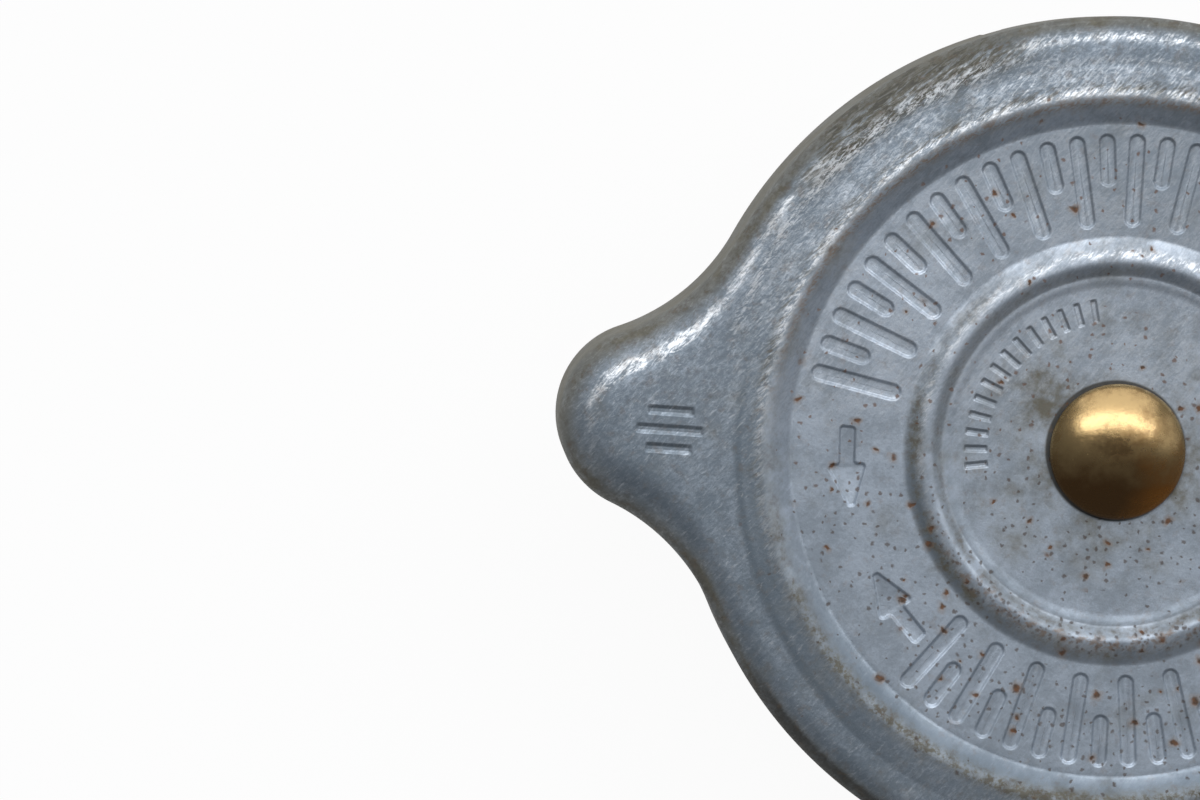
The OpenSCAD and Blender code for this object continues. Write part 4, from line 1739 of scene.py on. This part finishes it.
@dataclass
class PressureValve(SubAssembly):
    """The flanged cup, the plate clinched under it, and the gasket that the plate holds."""

    plate_z: float = 2.4
    plate_t: float = 0.8
    plate_r: float = 20.65
    plate_hook: float = 0.7
    plate_bend: float = 0.72
    hook_corner: float = 0.2
    gasket_r: float = 19.8
    gasket_face_r: float = 19.05
    gasket_recess_r: float = 12.8
    gasket_recess: float = 1.2
    gasket_hole_r: float = 8.0
    gasket_corner: float = 0.22
    proud: float = 0.8
    play: float = 0.05
    cup_r: float = 13.0
    cup_t: float = 0.8
    cup_bend: float = 1.5
    cup_corner: float = 0.3
    flange_r: float = 15.2
    flange_z: float = 7.8
    port_r: float = 5.5
    clinch: float = 1.0
    bevel: float = 0.1

    def build(self) -> Pieces:
        """Make the three pieces."""
        return {"spring_cup": self.cup(), "valve_plate": self.plate(), "seat_gasket": self.gasket()}

    def cup(self) -> Object:
        """Make the cup that the pressure spring stands in.

        Returns:
            The cup's object.
        """
        floor_z = self.plate_z + self.plate_t
        low_z = self.plate_z - self.cup_t
        neck_r = self.port_r + self.cup_t
        lip = neck_r + self.clinch
        bend, thin, corner = self.cup_bend, self.cup_bend - self.cup_t, self.cup_corner
        rim = (self.cup_r + self.cup_bend - self.cup_t, self.flange_z + self.cup_t - self.cup_bend)
        floor = (self.cup_r - self.cup_bend, floor_z + self.cup_bend)
        section = [(self.flange_r, self.flange_z + self.cup_t)]
        section += arc(rim, bend, 90, 180, 10)
        section += arc(floor, thin, 0, -90, 10)
        section += arc((self.port_r + corner, floor_z + self.cup_t - corner), corner, 90, 180, 4)
        section += [(self.port_r, low_z + corner)]
        section += arc((self.port_r + corner, low_z + corner), corner, 180, 270, 4)[1:]
        section += arc((lip - corner, low_z + corner), corner, -90, 0, 4)
        section += [(lip, self.plate_z), (neck_r, self.plate_z), (neck_r, floor_z)]
        section += arc(floor, bend, -90, 0, 10)
        section += arc(rim, thin, 180, 90, 10)
        section += [(self.flange_r, self.flange_z)]
        piece = turned_piece("spring_cup_pressing", section, 160)
        soften(piece, self.bevel)
        return piece

    def plate(self) -> Object:
        """Make the plate with its rim turned under the gasket's shoulder.

        Returns:
            The plate's object.
        """
        in_r = self.plate_r - self.plate_t
        hook_r = in_r - self.plate_hook
        hole_r = self.port_r + self.cup_t + self.play
        low, top = self.proud, self.plate_z + self.plate_t
        bend, corner = self.plate_bend, self.hook_corner
        section = [(hole_r, self.plate_z), (in_r, self.plate_z), (in_r, low + self.plate_t)]
        section += [(hook_r, low + self.plate_t)]
        section += arc((hook_r + corner, low + corner), corner, 180, 270, 3)
        section += arc((self.plate_r - bend, low + bend), bend, -90, 0, 8)
        section += arc((self.plate_r - bend, top - bend), bend, 0, 90, 8)
        section += [(hole_r, top)]
        return turned_piece("valve_plate_pressing", section, 192)

    def gasket(self) -> Object:
        """Make the moulded gasket.

        Returns:
            The gasket's object.
        """
        shoulder = self.proud + self.plate_t + self.play
        corners = [(self.gasket_recess_r, 0.0), (self.gasket_face_r, 0.0)]
        corners += [(self.gasket_face_r, shoulder), (self.gasket_r, shoulder)]
        corners += [(self.gasket_r, self.plate_z), (self.gasket_hole_r, self.plate_z)]
        corners += [(self.gasket_hole_r, self.gasket_recess), (self.gasket_recess_r, self.gasket_recess)]
        return turned_piece("seat_gasket_ring", rounded(corners, self.gasket_corner), 192, 60.0)


@dataclass
class VentValve(SubAssembly):
    """The vacuum valve: a brass disc on a stem, and the washer that its spring pushes on."""

    radius: float = 11.6
    thick: float = 0.7
    disc_z: float = 0.5
    fillet: float = 1.1
    low_corner: float = 0.33
    high_corner: float = 0.12
    groove: float = 0.10
    stem_r: float = 1.6
    washer_z: float = 10.5
    washer_r: float = 4.3
    washer_t: float = 0.6
    washer_corner: float = 0.15
    play: float = 0.05
    peen_r: float = 2.4
    peen_h: float = 0.7

    def build(self) -> Pieces:
        """Make both pieces."""
        return {"vent_valve": self.valve(), "vent_washer": self.washer()}

    def valve(self) -> Object:
        """Make the disc, with a dimple and a groove in its face, and its stem.

        Returns:
            The valve's object.
        """
        low, high = self.disc_z, self.disc_z + self.thick
        top = self.washer_z + self.washer_t
        section = [(0.0, low + 0.22), (0.7, low + 0.18)]
        section += pressed((0.9, low + 0.15), (1.9, low), 5)
        section += pressed((7.6, low), (8.1, low + self.groove), 3)
        section += pressed((8.3, low + self.groove), (8.8, low), 3)
        corner = self.low_corner
        section += arc((self.radius - corner, low + corner), corner, -90, 0, 5)
        corner = self.high_corner
        section += arc((self.radius - corner, high - corner), corner, 0, 90, 3)
        section += arc((self.stem_r + self.fillet, high + self.fillet), self.fillet, 270, 180, 8)
        section += [(self.stem_r, top), (self.peen_r - 0.05, top)]
        section += arc((self.peen_r - self.peen_h, top), self.peen_h, 4, 90, 7)
        section += [(0.0, top + self.peen_h)]
        return turned_piece("vent_disc", section, 128)

    def washer(self) -> Object:
        """Make the washer.

        Returns:
            The washer's object.
        """
        hole = self.stem_r + self.play
        low, high = self.washer_z, self.washer_z + self.washer_t
        corners = [(hole, low), (self.washer_r, low), (self.washer_r, high), (hole, high)]
        return turned_piece("vent_spring_washer", rounded(corners, self.washer_corner), 96, 60.0)


@dataclass
class Coil(SubAssembly):
    """A coil spring of round wire with flat end turns."""

    finish: Material
    name: str
    node: str
    joint: str
    bottom_r: float
    top_r: float
    bottom_z: float
    top_z: float
    fixed_z: float
    travel: float
    wire: float
    turns: float
    flat_turns: float = 0.9
    turn_steps: int = 56
    sides: int = 16
    sharp: float = 60.0

    def build(self) -> Pieces:
        """Wind the wire along its path with Geometry Nodes.

        Returns:
            The spring by its CAD node.
        """
        recipe = Recipe(self.name)
        sizes = {
            "Steps": int(self.turns * self.turn_steps) + 1,
            "Turns": self.turns,
            "Flat turns": self.flat_turns,
            "Bottom": self.bottom_z * MM,
            "Height": (self.top_z - self.bottom_z) * MM,
            "Bottom radius": self.bottom_r * MM,
            "Top radius": self.top_r * MM,
            "Wire": self.wire * MM,
        }
        steps, turns, flat, bottom, height, bottom_r, top_r, wire = recipe.inlets(sizes)
        line = recipe.out("GeometryNodeMeshLine", {}, {"Count": steps})
        turn = recipe.out("GeometryNodeInputIndex", {}, {}) / self.turn_steps
        low_end = turn.least(flat)
        high_end = (turn - turns + flat).most(0.0)
        middle = ((turn - flat) / (turns - flat * 2)).most(0.0).least(1.0)
        open_height = height - wire - wire * flat * 2
        z = bottom + wire * 0.5 + (low_end + high_end) * wire + open_height * middle
        r = bottom_r + (top_r - bottom_r) * turn / turns
        angle = turn * (2 * math.pi)
        spot = recipe.vector(r * angle.cosine(), r * angle.sine(), z)
        path = recipe.out("GeometryNodeSetPosition", {}, {"Geometry": line, "Position": spot})
        curve = recipe.out("GeometryNodeMeshToCurve", {}, {"Mesh": path})
        section = {"Resolution": self.sides, "Radius": wire * 0.5}
        profile = recipe.out("GeometryNodeCurvePrimitiveCircle", {}, section)
        sweep = {"Curve": curve, "Profile Curve": profile, "Fill Caps": True}
        piece = recipe.run(self.name, recipe.out("GeometryNodeCurveToMesh", {}, sweep), self.finish)
        smooth_outwards(piece.data, self.sharp)
        return {self.node: piece}

    def dress(self, pieces: Pieces, materials: Materials) -> None:
        """Dress the spring and give it a mesh of its own.

        Args:
            pieces: The spring by its CAD node.
            materials: The materials by slot.
        """
        super().dress(pieces, materials)
        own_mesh(pieces[self.node])


@dataclass
class Studio:
    """Floor, soft light and the camera at the photograph's angle."""

    camera_at: Colour = (-57.75, 28.43, 450.01)
    camera_turn: Colour = (-3.7887, -2.1278, 3.8895)
    lens: float = 166.82
    world: Colour = (0.155, 0.161, 0.169)
    floor_tint: Colour = (0.90, 0.90, 0.90)
    floor_fill: float = 0.95
    floor_half: float = 20.0
    floor_z: float = -0.0002

    def camera(self) -> None:
        """Set up the camera."""
        data = bpy.data.cameras.new("camera")
        data.lens = self.lens
        data.sensor_width = 36.0
        data.clip_start = 0.01
        data.clip_end = 100.0
        camera = show("camera", data)
        camera.location = [c * MM for c in self.camera_at]
        camera.rotation_euler = [math.radians(a) for a in self.camera_turn]
        bpy.context.scene.camera = camera

    def lamp(self, name: str, spot: Colour, size: Point, glow: float, tint: Colour, aim_x: float) -> None:
        """Add one soft lamp that faces the cap.

        Args:
            name: The lamp's name.
            spot: Its place in metres.
            size: Its width and height in metres.
            glow: Brightness of its face.
            tint: Its colour.
            aim_x: How far to the side of the cap it is aimed, in metres.
        """
        data = bpy.data.lights.new(name, "AREA")
        data.shape = "RECTANGLE"
        data.size, data.size_y = size
        data.energy = glow * math.pi * size[0] * size[1]
        data.color = tint
        lamp = show(name, data)
        lamp.location = spot
        lamp.rotation_mode = "QUATERNION"
        lamp.rotation_quaternion = (Vector((aim_x, 0.0, 0.02)) - Vector(spot)).to_track_quat("-Z", "Y")
        lamp.visible_camera = False

    def lights(self) -> None:
        """Light the cap from the far side with a wide soft window, and fill the rest with a plain grey."""
        self.lamp("window", (0.05, 0.75, 1.16), (2.6, 0.52), glow=3.5, tint=(0.97, 0.985, 1.0), aim_x=0.05)
        self.lamp("wall", (0.10, 1.30, 0.72), (2.4, 0.9), glow=1.1, tint=(0.98, 0.99, 1.0), aim_x=0.10)
        self.lamp("side", (1.30, 0.45, 0.60), (0.8, 0.8), glow=0.5, tint=(0.98, 0.99, 1.0), aim_x=0.0)
        world = bpy.data.worlds.new("room")
        world.use_nodes = True
        graph = Graph(world.node_tree)
        glow = graph.out("ShaderNodeBackground", {}, {"Color": self.world, "Strength": 1.0})
        graph.add("ShaderNodeOutputWorld", {}, {"Surface": glow})
        bpy.context.scene.world = world

    def floor(self) -> None:
        """Lay a plain pale floor that keeps the cap's shadow."""
        mesh = bpy.data.meshes.new("floor")
        half = self.floor_half
        corners = [(-half, -half, 0.0), (half, -half, 0.0), (half, half, 0.0), (-half, half, 0.0)]
        mesh.from_pydata(corners, [], [(0, 1, 2, 3)])
        floor = show("floor", mesh)
        floor.location.z = self.floor_z
        material = bpy.data.materials.new("floor")
        material.use_nodes = True
        graph = Graph(material.node_tree)
        path = graph.add("ShaderNodeLightPath", {}, {})
        seen = Value(graph, path.outputs["Is Camera Ray"])
        for kind in ("Is Glossy Ray", "Is Transmission Ray"):
            seen = seen.most(Value(graph, path.outputs[kind]))
        matt = graph.out("ShaderNodeBsdfDiffuse", {}, {"Color": self.floor_tint})
        glow = graph.out("ShaderNodeEmission", {}, {"Color": (1.0, 1.0, 1.0), "Strength": 1.0})
        face = graph.out("ShaderNodeMixShader", {}, {0: seen * self.floor_fill, 1: matt, 2: glow})
        behind = graph.out("ShaderNodeNewGeometry", {}, {}, "Backfacing")
        clear = graph.out("ShaderNodeBsdfTransparent", {}, {})
        shown = graph.out("ShaderNodeMixShader", {}, {0: behind, 1: face, 2: clear})
        graph.add("ShaderNodeOutputMaterial", {}, {"Surface": shown})
        mesh.materials.append(material)

    def build(self) -> None:
        """Set the whole stage."""
        bpy.context.scene.view_settings.view_transform = "Standard"
        self.camera()
        self.lights()
        self.floor()


def finishes() -> Materials:
    """The part's materials by slot.

    Returns:
        One material for each of the record's slots.
    """
    return {
        Slot.ZINC: WornZinc().material(),
        Slot.RIVET: AgedBrass("rubbed_brass", brown_and_shade_side=0.9, rough=0.20).material(),
        Slot.BRASS: AgedBrass(
            "dull_brass",
            gold=(0.52, 0.38, 0.17),
            brown=(0.29, 0.195, 0.085),
            tarnish=0.75,
            rough=0.36,
            coat=0.15,
        ).material(),
        Slot.SPRUNG: BareSteel("sprung_steel", rusty=0.12, rough=0.30).material(),
        Slot.WIRE: BareSteel(
            "spring_wire", pale=(0.30, 0.30, 0.305), dull=(0.13, 0.13, 0.13), rusty=0.3, rough=0.36
        ).material(),
        Slot.PLATED: BareSteel(
            "plated_steel", pale=(0.44, 0.45, 0.45), dull=(0.27, 0.27, 0.26), rusty=0.15, rough=0.38
        ).material(),
        Slot.RUBBER: BlackRubber().material(),
    }


def main() -> None:
    """Build the cap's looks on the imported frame, and set the stage."""
    logging.basicConfig(level=logging.INFO, format="%(message)s")
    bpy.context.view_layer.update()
    Studio().build()
    materials = finishes()
    wire = materials[Slot.WIRE]
    strong = Coil(
        wire,
        "pressure_coil",
        "pressure_spring",
        "valve_lift",
        bottom_r=10.25,
        top_r=10.25,
        bottom_z=4.05,
        top_z=22.35,
        fixed_z=22.35,
        travel=3.5,
        wire=1.9,
        turns=6.5,
    )
    light = Coil(
        wire,
        "vent_coil",
        "vent_spring",
        "vent_drop",
        bottom_r=6.15,
        top_r=2.25,
        bottom_z=4.05,
        top_z=10.45,
        fixed_z=4.05,
        travel=2.0,
        wire=0.7,
        turns=5.5,
    )
    for assembly in (Cover(), Rivet(), SealDisc(), Bell(), PressureValve(), VentValve(), strong, light):
        assembly.dress(assembly.build(), materials)


if __name__ == "__main__":
    main()
